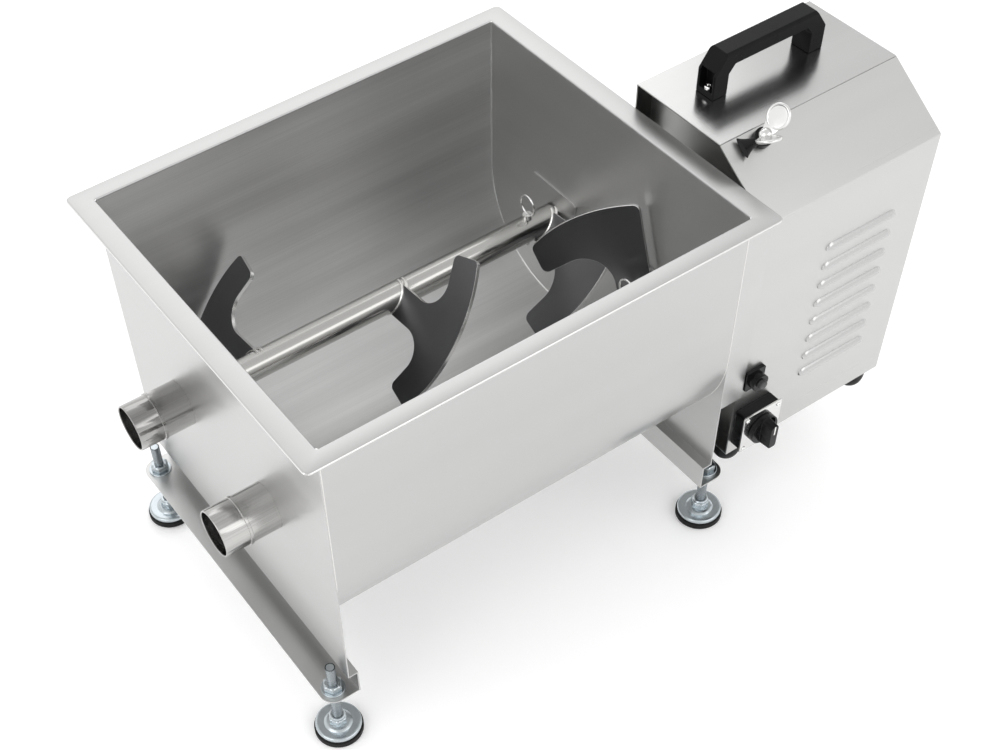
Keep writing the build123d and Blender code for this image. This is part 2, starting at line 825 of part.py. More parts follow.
with BuildPart() as drive_floor:
    with BuildSketch(level(drive_bottom)):
        with Locations((drive_left, -drive_near + sheet)):
            Rectangle(drive_length, drive_near - drive_far - 2 * sheet, align=(Align.MIN, Align.MIN))
    extrude(amount=sheet)
save(drive_floor, "drive_floor")

# Gearbox and motor on the mounting plate
gearbox_left = plate_right
motor_left = gearbox_left + gearbox_length
with BuildPart() as gearbox:
    with BuildSketch(across(gearbox_left)):
        with Locations(gearbox_face):
            RectangleRounded(gearbox_size, gearbox_size, gearbox_corner)
            Circle(stub_shaft_radius + running_fit, mode=Mode.SUBTRACT)
    extrude(amount=gearbox_length)
save(gearbox, "gearbox")

with BuildPart() as motor:
    with BuildSketch(across(motor_left)):
        with Locations(gearbox_face):
            Circle(motor_radius)
    extrude(amount=motor_length)
    with BuildSketch(across(motor_left + (motor_length - motor_rib_length) / 2)):
        with Locations(gearbox_face):
            with PolarLocations(motor_radius, motor_ribs):
                Rectangle(2 * motor_rib, motor_rib)
    extrude(amount=motor_rib_length)
save(motor, "motor")

# Output shaft with a tongue that drives the slotted end of the near stub
with BuildPart() as output_shaft:
    with BuildSketch(across(case_right + dog_clearance)):
        with Locations(gearbox_face):
            Circle(stub_shaft_radius)
    extrude(amount=gearbox_left + gearbox_length / 2 - case_right - dog_clearance)
    with BuildSketch(across(case_right + dog_clearance - dog_depth)):
        with Locations(gearbox_face):
            Rectangle(2 * stub_shaft_radius - 4 * dog_clearance, dog_width - 2 * dog_clearance)
    extrude(amount=dog_depth)
    with BuildSketch(across(case_right - dog_depth)):
        with Locations(gearbox_face):
            Circle(2 * stub_shaft_radius)
            Circle(stub_shaft_radius - dog_clearance, mode=Mode.SUBTRACT)
    extrude(amount=dog_depth, mode=Mode.SUBTRACT)
save(output_shaft, "output_shaft")

# Starting capacitor on the floor of the drive unit
with BuildPart() as capacitor:
    capacitor_x = at_x(motor_left)
    capacitor_y = at_y(-drive_near + sheet + capacitor_gap + capacitor_radius)
    capacitor_z = drive_bottom + sheet + capacitor_radius
    with BuildSketch(Plane((capacitor_x, capacitor_y, capacitor_z), z_dir=(1, 0, 0))):
        Circle(capacitor_radius)
    extrude(amount=capacitor_length)
    chamfer(capacitor.edges().filter_by(GeomType.CIRCLE), capacitor_edge)
save(capacitor, "capacitor")

# Rubber feet under the drive unit, for standing it on a bench when it is lifted off
floor_middle = (drive_left + drive_length / 2, -(drive_near + drive_far) / 2)
foot_span_x = drive_length - 2 * bench_foot_inset
foot_span_y = drive_near - drive_far - 2 * bench_foot_inset
with BuildPart() as bench_feet:
    with BuildSketch(level(drive_bottom)):
        with Locations(floor_middle):
            with GridLocations(foot_span_x, foot_span_y, 2, 2):
                Circle(bench_foot_radius)
    extrude(amount=-bench_foot_height, taper=bench_foot_taper)
save(bench_feet, "bench_feet")

# Handle: a moulded bridge with a pocket in each leg for its screw
handle_left = drive_left + handle_from_left
handle_right = handle_left + handle_length
handle_roof = drive_top + handle_height
handle_under = handle_roof - handle_bar
leg_top = drive_top + handle_shoulder
with BuildPart() as handle:
    with BuildSketch(beside(-handle_middle)):
        with BuildLine():
            Polyline(
                (handle_left, drive_top),
                (handle_left, leg_top),
                (handle_left + handle_slope, handle_roof),
                (handle_right - handle_slope, handle_roof),
                (handle_right, leg_top),
                (handle_right, drive_top),
                (handle_right - handle_leg, drive_top),
                (handle_right - handle_leg, leg_top - handle_wall),
                (handle_right - handle_leg - handle_slope / 2, handle_under),
                (handle_left + handle_leg + handle_slope / 2, handle_under),
                (handle_left + handle_leg, leg_top - handle_wall),
                (handle_left + handle_leg, drive_top),
                close=True,
            )
        make_face()
    extrude(amount=handle_width / 2, both=True)
    grip_edges = handle.edges().filter_by(Axis.X).group_by(Axis.Z)[-1]
    chamfer(grip_edges, handle_edge)
    for pocket_x, align in ((handle_left, Align.MIN), (handle_right, Align.MAX)):
        with BuildSketch(beside(-handle_middle)):
            with Locations((pocket_x, drive_top + pocket_floor)):
                Rectangle(pocket_depth, pocket_height, align=(align, Align.MIN))
        extrude(amount=handle_width / 2 - handle_wall, both=True, mode=Mode.SUBTRACT)
save(handle, "handle")

with BuildPart() as handle_screws:
    for screw_x in (handle_left + pocket_depth / 2, handle_right - pocket_depth / 2):
        with BuildSketch(level(drive_top + pocket_floor)):
            with Locations((screw_x, -handle_middle)):
                Circle(handle_screw_radius)
        extrude(amount=handle_screw_head)
save(handle_screws, "handle_screws")

# Switch: box on the near side, face plate, screws and the turning knob
switch_centre = (drive_left + switch_from_left, switch_centre_height)
with BuildPart() as switch_box:
    with BuildSketch(beside(-drive_near)):
        with Locations(switch_centre):
            RectangleRounded(switch_box_size, switch_box_size, switch_corner)
    extrude(amount=switch_box_depth)
save(switch_box, "switch_box")

with BuildPart() as switch_plate:
    with BuildSketch(beside(-drive_near - switch_box_depth)):
        with Locations(switch_centre):
            RectangleRounded(switch_size, switch_size, switch_corner)
    extrude(amount=switch_plate_thick)
save(switch_plate, "switch_plate")

with BuildPart() as switch_screws:
    with BuildSketch(beside(-switch_front)):
        with Locations(switch_centre):
            with GridLocations(switch_screw_spacing, switch_screw_spacing, 2, 2):
                Circle(switch_screw_radius)
    extrude(amount=switch_screw_head)
save(switch_screws, "switch_screws")

with BuildPart() as switch_knob:
    with BuildSketch(beside(-switch_front - knob_gap)):
        with Locations(switch_centre):
            Circle(knob_radius)
    extrude(amount=knob_base)
    with BuildSketch(beside(-switch_front - knob_gap - knob_base)):
        with Locations(switch_centre):
            RectangleRounded(knob_grip_width, knob_grip_length, knob_grip_corner)
    extrude(amount=knob_grip, taper=knob_taper)
save(switch_knob, "switch_knob")

# Breaker above the switch: square base, round collar and a push button that travels inwards
breaker_centre = (drive_left + breaker_from_left, breaker_height)
collar_face = drive_near + breaker_base + breaker_collar_height
button_back = collar_face + button_out - button_length
with BuildPart() as breaker:
    with BuildSketch(beside(-drive_near)):
        with Locations(breaker_centre):
            RectangleRounded(breaker_size, breaker_size, breaker_corner)
    extrude(amount=breaker_base)
    with BuildSketch(beside(-drive_near - breaker_base)):
        with Locations(breaker_centre):
            Circle(breaker_collar)
    extrude(amount=breaker_collar_height)
    with BuildSketch(beside(-collar_face)):
        with Locations(breaker_centre):
            Circle(button_radius + slip_fit)
    extrude(amount=button_back - button_travel - button_gap - collar_face, mode=Mode.SUBTRACT)
save(breaker, "breaker")

with BuildPart() as breaker_button:
    with BuildSketch(beside(-button_back)):
        with Locations(breaker_centre):
            Circle(button_radius)
    extrude(amount=button_length)
    chamfer(breaker_button.edges().group_by(Axis.Y)[0], button_edge)
save(breaker_button, "breaker_button")

# Wing screw square to the sloping front, its welded nut, and the flared keeper it clamps
with BuildPart() as wing_nut:
    with BuildSketch(wing_plane.offset(-sheet)):
        RegularPolygon(2 * wing_shank, 6)
        Circle(wing_shank + slip_fit, mode=Mode.SUBTRACT)
    extrude(amount=-wing_nut_depth)
save(wing_nut, "wing_nut")

with BuildPart() as keeper:
    with BuildSketch(wing_plane.offset(keeper_gap)):
        Circle(keeper_disc)
    extrude(amount=keeper_thick)
    stem_centre = wing_plane.origin + slope_out * (2 * keeper_gap + keeper_thick / 2)
    stem_start = Plane(stem_centre, x_dir=slope_up, z_dir=(-1, 0, 0))
    with BuildSketch(stem_start):
        Ellipse(keeper_stem / 2, keeper_thick / 2)
    with BuildSketch(stem_start.offset(keeper_length / 2)):
        Ellipse(keeper_stem / 2, keeper_thick / 2)
    with BuildSketch(stem_start.offset(keeper_length)):
        Ellipse(keeper_mouth / 2, keeper_thick / 2)
    loft()
    with BuildSketch(wing_plane):
        Circle(wing_shank + slip_fit)
    extrude(amount=2 * keeper_gap + 2 * keeper_thick, mode=Mode.SUBTRACT)
save(keeper, "keeper")

with BuildPart() as wing_screw:
    with BuildSketch(wing_plane.offset(-sheet - wing_nut_depth)):
        Circle(wing_shank)
    extrude(amount=sheet + wing_nut_depth + 2 * keeper_gap + keeper_thick)
    with BuildSketch(wing_plane.offset(2 * keeper_gap + keeper_thick)):
        Circle(wing_boss)
    extrude(amount=wing_boss_height, taper=wing_taper)
    ear_axis = Vector(1, 0, 0).rotate(Axis((0, 0, 0), slope_out), wing_turn)
    ear_face = Plane(wing_foot, x_dir=ear_axis, z_dir=ear_axis.cross(slope_out))
    for hand in (1, -1):
        with BuildSketch(ear_face):
            with Locations((hand * wing_boss / 3, keeper_thick + wing_boss_height / 2)):
                Circle(wing_ear_root)
            with Locations((hand * wing_ear_out, keeper_thick + wing_ear_up)):
                Circle(wing_ear)
            make_hull()
        extrude(amount=wing_ear_thick / 2, both=True)
save(wing_screw, "wing_screw")

# Levelling feet: threaded stud, hexagonal boss and pressed dish, on a rubber pad
dish_top = pad_height + dish_height
for name, (stud_x, stud_y) in stud_places.items():
    with BuildPart() as foot:
        stud_axis = Plane((at_x(stud_x), at_y(stud_y), 0), x_dir=(1, 0, 0), z_dir=(0, -1, 0))
        with BuildSketch(stud_axis):
            with BuildLine():
                Polyline(
                    (0, pad_height),
                    (pad_radius - dish_inset, pad_height),
                    (pad_radius - dish_inset, pad_height + dish_edge),
                    (dish_flat, dish_top),
                    (stud_radius, dish_top),
                    (stud_radius, stud_top - stud_lead),
                    (stud_radius - stud_lead, stud_top),
                    (0, stud_top),
                    close=True,
                )
            make_face()
        revolve(axis=Axis((at_x(stud_x), at_y(stud_y), 0), (0, 0, 1)))
        with BuildSketch(level(dish_top)):
            with Locations((stud_x, stud_y)):
                RegularPolygon(nut_across / 2, 6, major_radius=False)
        extrude(amount=boss_height)
    save(foot, f"levelling_foot_{name}")

    with BuildPart() as pad:
        with BuildSketch(level(0)):
            with Locations((stud_x, stud_y)):
                Circle(pad_radius)
        extrude(amount=pad_height)
        chamfer(pad.edges().filter_by(GeomType.CIRCLE), pad_edge)
    save(pad, f"foot_pad_{name}")

# Nuts and washers that clamp the studs above and below the foot-bar flanges
with BuildPart() as flange_nuts:
    for start, direction in ((foot_bar_height, 1), (foot_bar_height - sheet, -1)):
        with BuildSketch(level(start)):
            with Locations(*stud_places.values()):
                Circle(washer_radius)
        extrude(amount=direction * washer_thick)
        with BuildSketch(level(start + direction * washer_thick)):
            with Locations(*stud_places.values()):
                RegularPolygon(nut_across / 2, 6, major_radius=False)
        extrude(amount=direction * nut_height)
    with BuildSketch(level(foot_bar_height - sheet - nut_height - 2 * washer_thick)):
        with Locations(*stud_places.values()):
            Circle(stud_radius + slip_fit)
    extrude(amount=2 * (nut_height + 2 * washer_thick) + sheet, mode=Mode.SUBTRACT)
save(flange_nuts, "flange_nuts")
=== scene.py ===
import json
import math
import bmesh
import bpy
from mathutils import Matrix, Vector


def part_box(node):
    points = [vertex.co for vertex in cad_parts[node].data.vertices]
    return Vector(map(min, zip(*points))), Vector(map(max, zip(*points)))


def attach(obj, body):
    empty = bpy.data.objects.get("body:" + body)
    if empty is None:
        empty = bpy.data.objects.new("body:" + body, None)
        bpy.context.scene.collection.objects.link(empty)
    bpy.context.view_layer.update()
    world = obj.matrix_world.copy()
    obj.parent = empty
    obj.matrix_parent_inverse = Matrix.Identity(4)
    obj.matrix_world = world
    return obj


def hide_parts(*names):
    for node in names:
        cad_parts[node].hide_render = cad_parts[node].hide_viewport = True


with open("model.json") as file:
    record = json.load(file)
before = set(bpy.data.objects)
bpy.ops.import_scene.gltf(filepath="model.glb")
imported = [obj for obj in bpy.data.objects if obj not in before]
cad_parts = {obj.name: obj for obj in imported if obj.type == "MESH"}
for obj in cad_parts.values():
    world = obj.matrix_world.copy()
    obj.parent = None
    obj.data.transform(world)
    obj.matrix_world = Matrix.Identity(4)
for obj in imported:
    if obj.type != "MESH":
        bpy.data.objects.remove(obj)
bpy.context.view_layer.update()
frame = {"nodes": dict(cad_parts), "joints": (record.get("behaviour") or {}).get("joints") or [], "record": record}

record = frame["record"]
bodyOf = {node: body for body, nodes in record["behaviour"]["bodies"].items() for node in nodes}
slotOf = {row["node"]: row["material_slot"] for row in record["subparts"]}
mm = 0.001
axisNumber = {"x": 0, "y": 1, "z": 2}


# Materials: every finish is worked out from Object coordinates

relief = {"metal": 0.05 * mm, "moulded": 0.08 * mm, "floor": 0.1 * mm}
brush = {"along": 5.0, "cloud": 12.0, "cloudAcross": 22.0, "cloudAlong": 1.3}


def newShader(name, colour, roughness, metallic):
    material = bpy.data.materials.new(name)
    material.use_nodes = True
    tree = material.node_tree
    shader = tree.nodes["Principled BSDF"]
    shader.inputs["Base Color"].default_value = (*colour, 1.0)
    shader.inputs["Roughness"].default_value = roughness
    shader.inputs["Metallic"].default_value = metallic
    return material, tree, shader


def noiseIn(tree, stretch, detail=3.0, soft=0.5):
    coords = tree.nodes.new("ShaderNodeTexCoord")
    mapping = tree.nodes.new("ShaderNodeMapping")
    mapping.inputs["Scale"].default_value = stretch
    noise = tree.nodes.new("ShaderNodeTexNoise")
    noise.inputs["Scale"].default_value = 1.0
    noise.inputs["Detail"].default_value = detail
    noise.inputs["Roughness"].default_value = soft
    tree.links.new(coords.outputs["Object"], mapping.inputs["Vector"])
    tree.links.new(mapping.outputs["Vector"], noise.inputs["Vector"])
    return noise.outputs["Fac"]


def rangeOf(tree, value, low, high):
    node = tree.nodes.new("ShaderNodeMapRange")
    node.inputs["From Min"].default_value = 0.3
    node.inputs["From Max"].default_value = 0.7
    node.inputs["To Min"].default_value = low
    node.inputs["To Max"].default_value = high
    tree.links.new(value, node.inputs["Value"])
    return node.outputs["Result"]


def addUp(tree, first, second):
    node = tree.nodes.new("ShaderNodeMath")
    node.operation = "ADD"
    tree.links.new(first, node.inputs[0])
    tree.links.new(second, node.inputs[1])
    return node.outputs["Value"]


def tint(tree, shader, value, dark, light):
    node = tree.nodes.new("ShaderNodeMix")
    node.data_type = "RGBA"
    node.inputs["A"].default_value = (*dark, 1.0)
    node.inputs["B"].default_value = (*light, 1.0)
    tree.links.new(rangeOf(tree, value, 0.0, 1.0), node.inputs["Factor"])
    tree.links.new(node.outputs["Result"], shader.inputs["Base Color"])


def bumpOn(tree, shader, value, strength, distance):
    node = tree.nodes.new("ShaderNodeBump")
    node.inputs["Strength"].default_value = strength
    node.inputs["Distance"].default_value = distance
    tree.links.new(value, node.inputs["Height"])
    tree.links.new(node.outputs["Normal"], shader.inputs["Normal"])


def metalFinish(name, colour, roughness, grain=None, lines=1100.0, depth=0.04, smudge=0.03,
                tones=(0.96, 1.03)):
    # grain is the axis that the brush ran along, or None where the surface has no direction
    material, tree, shader = newShader(name, colour, roughness, 1.0)
    stretch, wide = [lines] * 3, [brush["cloud"]] * 3
    if grain:
        stretch[axisNumber[grain]] = brush["along"]
        wide = [brush["cloudAcross"]] * 3
        wide[axisNumber[grain]] = brush["cloudAlong"]
    fine = noiseIn(tree, stretch, 4.0, 0.6)
    cloud = noiseIn(tree, wide, 3.0, 0.55)
    streak = rangeOf(tree, fine, roughness - 0.03, roughness + 0.03)
    haze = rangeOf(tree, cloud, -smudge, smudge)
    tree.links.new(addUp(tree, streak, haze), shader.inputs["Roughness"])
    tint(tree, shader, addUp(tree, rangeOf(tree, fine, 0.1, 0.2), rangeOf(tree, cloud, 0.2, 0.5)),
         [c * tones[0] for c in colour], [min(1.0, c * tones[1]) for c in colour])
    bumpOn(tree, shader, fine, depth, relief["metal"])
    return material


def mouldedFinish(name, colour, roughness, grainScale=2200.0, depth=0.25, wear=0.35, gloss=0.2):
    material, tree, shader = newShader(name, colour, roughness, 0.0)
    shader.inputs["Specular IOR Level"].default_value = gloss
    grain = noiseIn(tree, (grainScale, grainScale, grainScale), 2.0)
    cloud = noiseIn(tree, (40.0, 40.0, 40.0), 3.0)
    tree.links.new(rangeOf(tree, cloud, roughness - 0.06, roughness + 0.08), shader.inputs["Roughness"])
    tint(tree, shader, cloud, colour, [c * (1 + wear) for c in colour])
    bumpOn(tree, shader, grain, depth, relief["moulded"])
    return material


finishes = {
    "shellSteel": metalFinish("shellSteel", (0.54, 0.54, 0.535), 0.33, "x", tones=(0.98, 1.02)),
    # the shell's inner faces: the same sheet in a lighter colour, painted light for the trough's inside
    "innerSteelPaintedLight": metalFinish("innerSteelPaintedLight", (0.8, 0.8, 0.795), 0.45, "x", depth=0.02, tones=(0.76, 1.12)),
    "endSteel": metalFinish("endSteel", (0.565, 0.565, 0.56), 0.34, "y", lines=900.0),
    "rimSteel": metalFinish("rimSteel", (0.54, 0.54, 0.535), 0.42, "x", smudge=0.02),
    "coverSteel": metalFinish("coverSteel", (0.56, 0.56, 0.55), 0.32, "x", tones=(0.98, 1.02)),
    "topSteel": metalFinish("topSteel", (0.52, 0.52, 0.515), 0.2, "x", smudge=0.02),
    "tubeSteel": metalFinish("tubeSteel", (0.46, 0.455, 0.445), 0.15, "x", lines=1500.0, tones=(0.45, 1.3)),
    "shaftSteel": metalFinish("shaftSteel", (0.5, 0.495, 0.48), 0.17, "x", lines=2000.0, tones=(0.9, 1.1)),
    "paddleSteel": metalFinish("paddleSteel", (0.17, 0.17, 0.175), 0.33, None, lines=700.0),
    "edgeSteel": metalFinish("edgeSteel", (0.85, 0.85, 0.84), 0.22, None, lines=900.0),
    "weldSteel": metalFinish("weldSteel", (0.8, 0.79, 0.77), 0.26, None, lines=500.0, depth=0.3),
    "machined": metalFinish("machined", (0.5, 0.5, 0.49), 0.28, None, lines=900.0),
    "zinc": metalFinish("zinc", (0.51, 0.555, 0.58), 0.24, None, lines=1600.0, depth=0.02),
    # painted shade for the thread flanks of the levelling feet
    "threadShade": metalFinish("threadShade", (0.2, 0.22, 0.235), 0.3, None, lines=1600.0, depth=0.02),
    "bright": metalFinish("bright", (0.86, 0.86, 0.85), 0.16, None, lines=250.0, depth=0.03),
    "castBright": metalFinish("castBright", (0.74, 0.74, 0.73), 0.2, None, lines=250.0, depth=0.03),
    "plateMetal": metalFinish("plateMetal", (0.74, 0.74, 0.73), 0.14, "x", lines=1500.0),
    "castMetal": metalFinish("castMetal", (0.55, 0.55, 0.55), 0.45, None, lines=420.0, depth=0.5),
    "bronze": metalFinish("bronze", (0.62, 0.45, 0.22), 0.35, None, lines=700.0),
    "rubber": mouldedFinish("rubber", (0.008, 0.008, 0.008), 0.5, 1500.0, 0.35),
    "handlePlastic": mouldedFinish("handlePlastic", (0.004, 0.004, 0.0045), 0.3, 2600.0, 0.12, gloss=0.12),
    "knobPlastic": mouldedFinish("knobPlastic", (0.004, 0.004, 0.0045), 0.24, 1500.0, 0.06),
    "buttonPlastic": mouldedFinish("buttonPlastic", (0.05, 0.05, 0.05), 0.35, 1500.0, 0.1),
    "bushPlastic": mouldedFinish("bushPlastic", (0.02, 0.02, 0.021), 0.4, 900.0, 0.1),
    "whitePaint": mouldedFinish("whitePaint", (0.8, 0.8, 0.78), 0.4, 900.0, 0.1, 0.02),
    "motorPaint": mouldedFinish("motorPaint", (0.035, 0.045, 0.055), 0.4, 700.0, 0.4),
    "canPlastic": mouldedFinish("canPlastic", (0.5, 0.5, 0.47), 0.4, 900.0, 0.1, 0.05),
}
print("finishes", len(finishes))


# Meshes and pieces

madeSharp, cadSharp, flatWithin = 35.0, 32.0, 0.4
mergeMade, mergeCad = 1e-6, 2e-6


def camelName(node):
    first, *rest = node.split("_")
    return first + "".join(word.capitalize() for word in rest)


def addPiece(name, mesh, material, body, slot, *replaced):
    piece = bpy.data.objects.new(name, mesh)
    bpy.context.scene.collection.objects.link(piece)
    if material:
        piece.data.materials.clear()
        piece.data.materials.append(finishes[material])
    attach(piece, body)
    if replaced:
        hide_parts(*replaced)
    return piece


def meshFrom(name, points, faces, sharp=madeSharp):
    mesh = bpy.data.meshes.new(name)
    mesh.from_pydata([tuple(p) for p in points], [], faces)
    mesh.validate()
    tidyNormals(mesh, sharp)
    return mesh


def tidyNormals(mesh, sharp):
    work = bmesh.new()
    work.from_mesh(mesh)
    bmesh.ops.remove_doubles(work, verts=work.verts, dist=mergeMade)
    bmesh.ops.recalc_face_normals(work, faces=work.faces)
    work.to_mesh(mesh)
    work.free()
    mesh.shade_smooth()
    mesh.set_sharp_from_angle(angle=math.radians(sharp))


def axesFrom(axis):
    # the axis and two lines square to it and to each other
    axis = Vector(axis).normalized()
    across = axis.orthogonal().normalized()
    return axis, across, axis.cross(across)


def around(centre, radius, turn, height):
    return (centre[0] + radius * math.cos(turn), centre[1] + radius * math.sin(turn), height)


def ringFaces(rows, count, closed=False):
    # quads between neighbouring rings, and from the last ring to the first where closed
    faces = []
    for row in range(rows if closed else rows - 1):
        after = (row + 1) % rows
        for k in range(count):
            right = (k + 1) % count
            faces.append((row * count + k, row * count + right, after * count + right, after * count + k))
    return faces


def latheMesh(name, profile, foot, axis=(0, 0, 1), sides=64):
    # profile is (radius, distance along the axis) from one end of the axis to the other
    axis, across, beside = axesFrom(axis)
    points = []
    for radius, along in profile:
        for k in range(sides):
            turn = 2 * math.pi * k / sides
            spoke = across * math.cos(turn) + beside * math.sin(turn)
            points.append(Vector(foot) + axis * along + spoke * radius)
    return meshFrom(name, points, ringFaces(len(profile), sides))


def bevelOn(piece, width, material=-1):
    bevel = piece.modifiers.new("roundedEdges", "BEVEL")
    bevel.width = width
    bevel.segments = 2
    bevel.limit_method = "ANGLE"
    bevel.angle_limit = math.radians(cadSharp)
    bevel.harden_normals = True
    bevel.material = material


def thicken(piece, thickness):
    # the sheet grows inward, then the cut edges are split so that flat faces stay flat
    wall = piece.modifiers.new("sheetThickness", "SOLIDIFY")
    wall.thickness = thickness
    wall.offset = -1.0
    split = piece.modifiers.new("crispEdges", "EDGE_SPLIT")
    split.split_angle = math.radians(madeSharp)


def softCopy(node, material, edge=0.3, trimTop=None):
    # a merged copy of a CAD node with its folded and cut edges rounded
    mesh = frame["nodes"][node].data.copy()
    mesh.name = camelName(node)
    work = bmesh.new()
    work.from_mesh(mesh)
    bmesh.ops.remove_doubles(work, verts=work.verts, dist=mergeCad)
    bmesh.ops.dissolve_limit(work, angle_limit=math.radians(flatWithin), verts=work.verts, edges=work.edges)
    if trimTop:
        for vertex in work.verts:
            if vertex.co.z > trimTop["above"]:
                vertex.co.z = trimTop["down"]
    work.to_mesh(mesh)
    work.free()
    mesh.shade_smooth()
    mesh.set_sharp_from_angle(angle=math.radians(cadSharp))
    piece = addPiece(camelName(node), mesh, material, bodyOf[node], slotOf[node], node)
    if edge:
        bevelOn(piece, edge * mm)
    return piece


# Geometry Nodes: a sweep along a line, and copies of one shape at marked points

def newTree(name, inputs):
    tree = bpy.data.node_groups.new(name, "GeometryNodeTree")
    tree.interface.new_socket("Geometry", in_out="INPUT", socket_type="NodeSocketGeometry")
    for label, kind in inputs:
        tree.interface.new_socket(label, in_out="INPUT", socket_type="NodeSocket" + kind)
    tree.interface.new_socket("Geometry", in_out="OUTPUT", socket_type="NodeSocketGeometry")
    return tree, tree.nodes.new("NodeGroupInput"), tree.nodes.new("NodeGroupOutput")


def sweepTree():
    inputs = [("Radius", "Float"), ("Sides", "Int"), ("Finish", "Material")]
    tree, entry, leave = newTree("sweepAlongLine", inputs)
    toCurve = tree.nodes.new("GeometryNodeMeshToCurve")
    circle = tree.nodes.new("GeometryNodeCurvePrimitiveCircle")
    sweep = tree.nodes.new("GeometryNodeCurveToMesh")
    sweep.inputs["Fill Caps"].default_value = True
    smooth = tree.nodes.new("GeometryNodeSetShadeSmooth")
    realize = tree.nodes.new("GeometryNodeRealizeInstances")
    finish = tree.nodes.new("GeometryNodeSetMaterial")
    link = tree.links.new
    link(entry.outputs["Geometry"], toCurve.inputs["Mesh"])
    link(entry.outputs["Radius"], circle.inputs["Radius"])
    link(entry.outputs["Sides"], circle.inputs["Resolution"])
    link(toCurve.outputs["Curve"], sweep.inputs["Curve"])
    link(circle.outputs["Curve"], sweep.inputs["Profile Curve"])
    link(sweep.outputs["Mesh"], smooth.inputs["Geometry"])
    link(smooth.outputs["Geometry"], realize.inputs["Geometry"])
    link(realize.outputs["Geometry"], finish.inputs["Geometry"])
    link(entry.outputs["Finish"], finish.inputs["Material"])
    link(finish.outputs["Geometry"], leave.inputs["Geometry"])
    return tree


def copyTree():
    tree, entry, leave = newTree("copiesAtPoints", [("Shape", "Object"), ("Finish", "Material")])
    shape = tree.nodes.new("GeometryNodeObjectInfo")
    place = tree.nodes.new("GeometryNodeInstanceOnPoints")
    realize = tree.nodes.new("GeometryNodeRealizeInstances")
    finish = tree.nodes.new("GeometryNodeSetMaterial")
    link = tree.links.new
    link(entry.outputs["Geometry"], place.inputs["Points"])
    link(entry.outputs["Shape"], shape.inputs["Object"])
    link(shape.outputs["Geometry"], place.inputs["Instance"])
    link(place.outputs["Instances"], realize.inputs["Geometry"])
    link(realize.outputs["Geometry"], finish.inputs["Geometry"])
    link(entry.outputs["Finish"], finish.inputs["Material"])
    link(finish.outputs["Geometry"], leave.inputs["Geometry"])
    return tree


def runTree(tree, carrier, values):
    # the evaluated result becomes a plain mesh, and the carrier goes
    modifier = carrier.modifiers.new("nodes", "NODES")
    modifier.node_group = tree
    for item in tree.interface.items_tree:
        if item.in_out == "INPUT" and item.name in values:
            modifier[item.identifier] = values[item.name]
    bpy.context.view_layer.update()
    graph = bpy.context.evaluated_depsgraph_get()
    mesh = bpy.data.meshes.new_from_object(carrier.evaluated_get(graph), depsgraph=graph)
    bpy.data.objects.remove(carrier)
    return mesh


def carrierOf(points, edges):
    mesh = bpy.data.meshes.new("carrier")
    mesh.from_pydata([tuple(p) for p in points], edges, [])
    carrier = bpy.data.objects.new("carrier", mesh)
    bpy.context.scene.collection.objects.link(carrier)
    return carrier


sweepNodes = sweepTree()
copyNodes = copyTree()


def withFinish(mesh, material):
    # one finish in the first slot, and every face on it
    mesh.materials.clear()
    mesh.materials.append(finishes[material])
    for face in mesh.polygons:
        face.material_index = 0
    return mesh


def sweepLine(points, radius, material, sides=8, closed=False):
    edges = [(k, k + 1) for k in range(len(points) - 1)]
    if closed:
        edges.append((len(points) - 1, 0))
    values = {"Radius": radius, "Sides": sides, "Finish": finishes[material]}
    return withFinish(runTree(sweepNodes, carrierOf(points, edges), values), material)


def copyShape(mesh, points, material, sharp=madeSharp):
    shape = bpy.data.objects.new("shape", mesh)
    bpy.context.scene.collection.objects.link(shape)
    copies = runTree(copyNodes, carrierOf(points, []), {"Shape": shape, "Finish": finishes[material]})
    withFinish(copies, material)
    bpy.data.objects.remove(shape)
    copies.shade_smooth()
    copies.set_sharp_from_angle(angle=math.radians(sharp))
    return copies


def joinMeshes(name, meshes):
    work = bmesh.new()
    materials = []
    for mesh in meshes:
        materials += [material for material in mesh.materials if material not in materials]
        number = [materials.index(material) for material in mesh.materials]
        start = len(work.faces)
        work.from_mesh(mesh)
        work.faces.ensure_lookup_table()
        for face in work.faces[start:]:
            face.material_index = number[face.material_index]
    joined = bpy.data.meshes.new(name)
    work.to_mesh(joined)
    work.free()
    for material in materials:
        joined.materials.append(material)
    joined.shade_smooth()
    joined.set_sharp_from_angle(angle=math.radians(madeSharp))
    return joined


# Tank: shell, end plates, rolled rim and the welds

tank = {
    "sheet": 1.5 * mm,
    "rimBend": 1.4 * mm,
    "rimDepth": 2.0 * mm,
    "hemWidth": 7.0 * mm,
    "hemThick": 2.8 * mm,
    "bendSteps": 4,
    "hemSteps": 6,
    "cornerSteps": 6,
    "cornerRound": 3.5 * mm,
    "innerCorner": 1.0 * mm,
    "trimUnder": 0.5 * mm,
    "faceReach": 0.2 * mm,
    # band, size and slope of the faces along the polished rolled edge that get a painted highlight
    "polishHighlightBand": 1.2 * mm,
    "polishHighlightArea": 1e-3,
    "polishHighlightNormal": 0.5,
    "seamRadius": 1.3 * mm,
    "outsideSeamRadius": 0.5 * mm,
    "seamUnderRim": 1.5 * mm,
    "seamSteps": 32,
}
shellLow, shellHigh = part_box("tank_shell")
rimLow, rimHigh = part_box("rim_frame")
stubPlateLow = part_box("end_plate_stub_side")[0]
middleY = (shellLow.y + shellHigh.y) / 2
innerHalf = (shellHigh.y - shellLow.y) / 2 - tank["sheet"]
wallStub, wallDrive = shellLow.x, shellHigh.x
rimTop = rimHigh.z
spinJoints = [joint for joint in frame["joints"] if joint["name"].endswith("shaft_spin")]
shaftAxes = {joint["child"]: Vector(joint["pos_m"]) for joint in spinJoints}
halfSpacing = (shaftAxes["far_shaft"].y - shaftAxes["near_shaft"].y) / 2
shaftHeight = shaftAxes["near_shaft"].z
rimTrim = {"above": rimTop - 2 * tank["sheet"], "down": rimTop - tank["rimBend"] - tank["trimUnder"]}


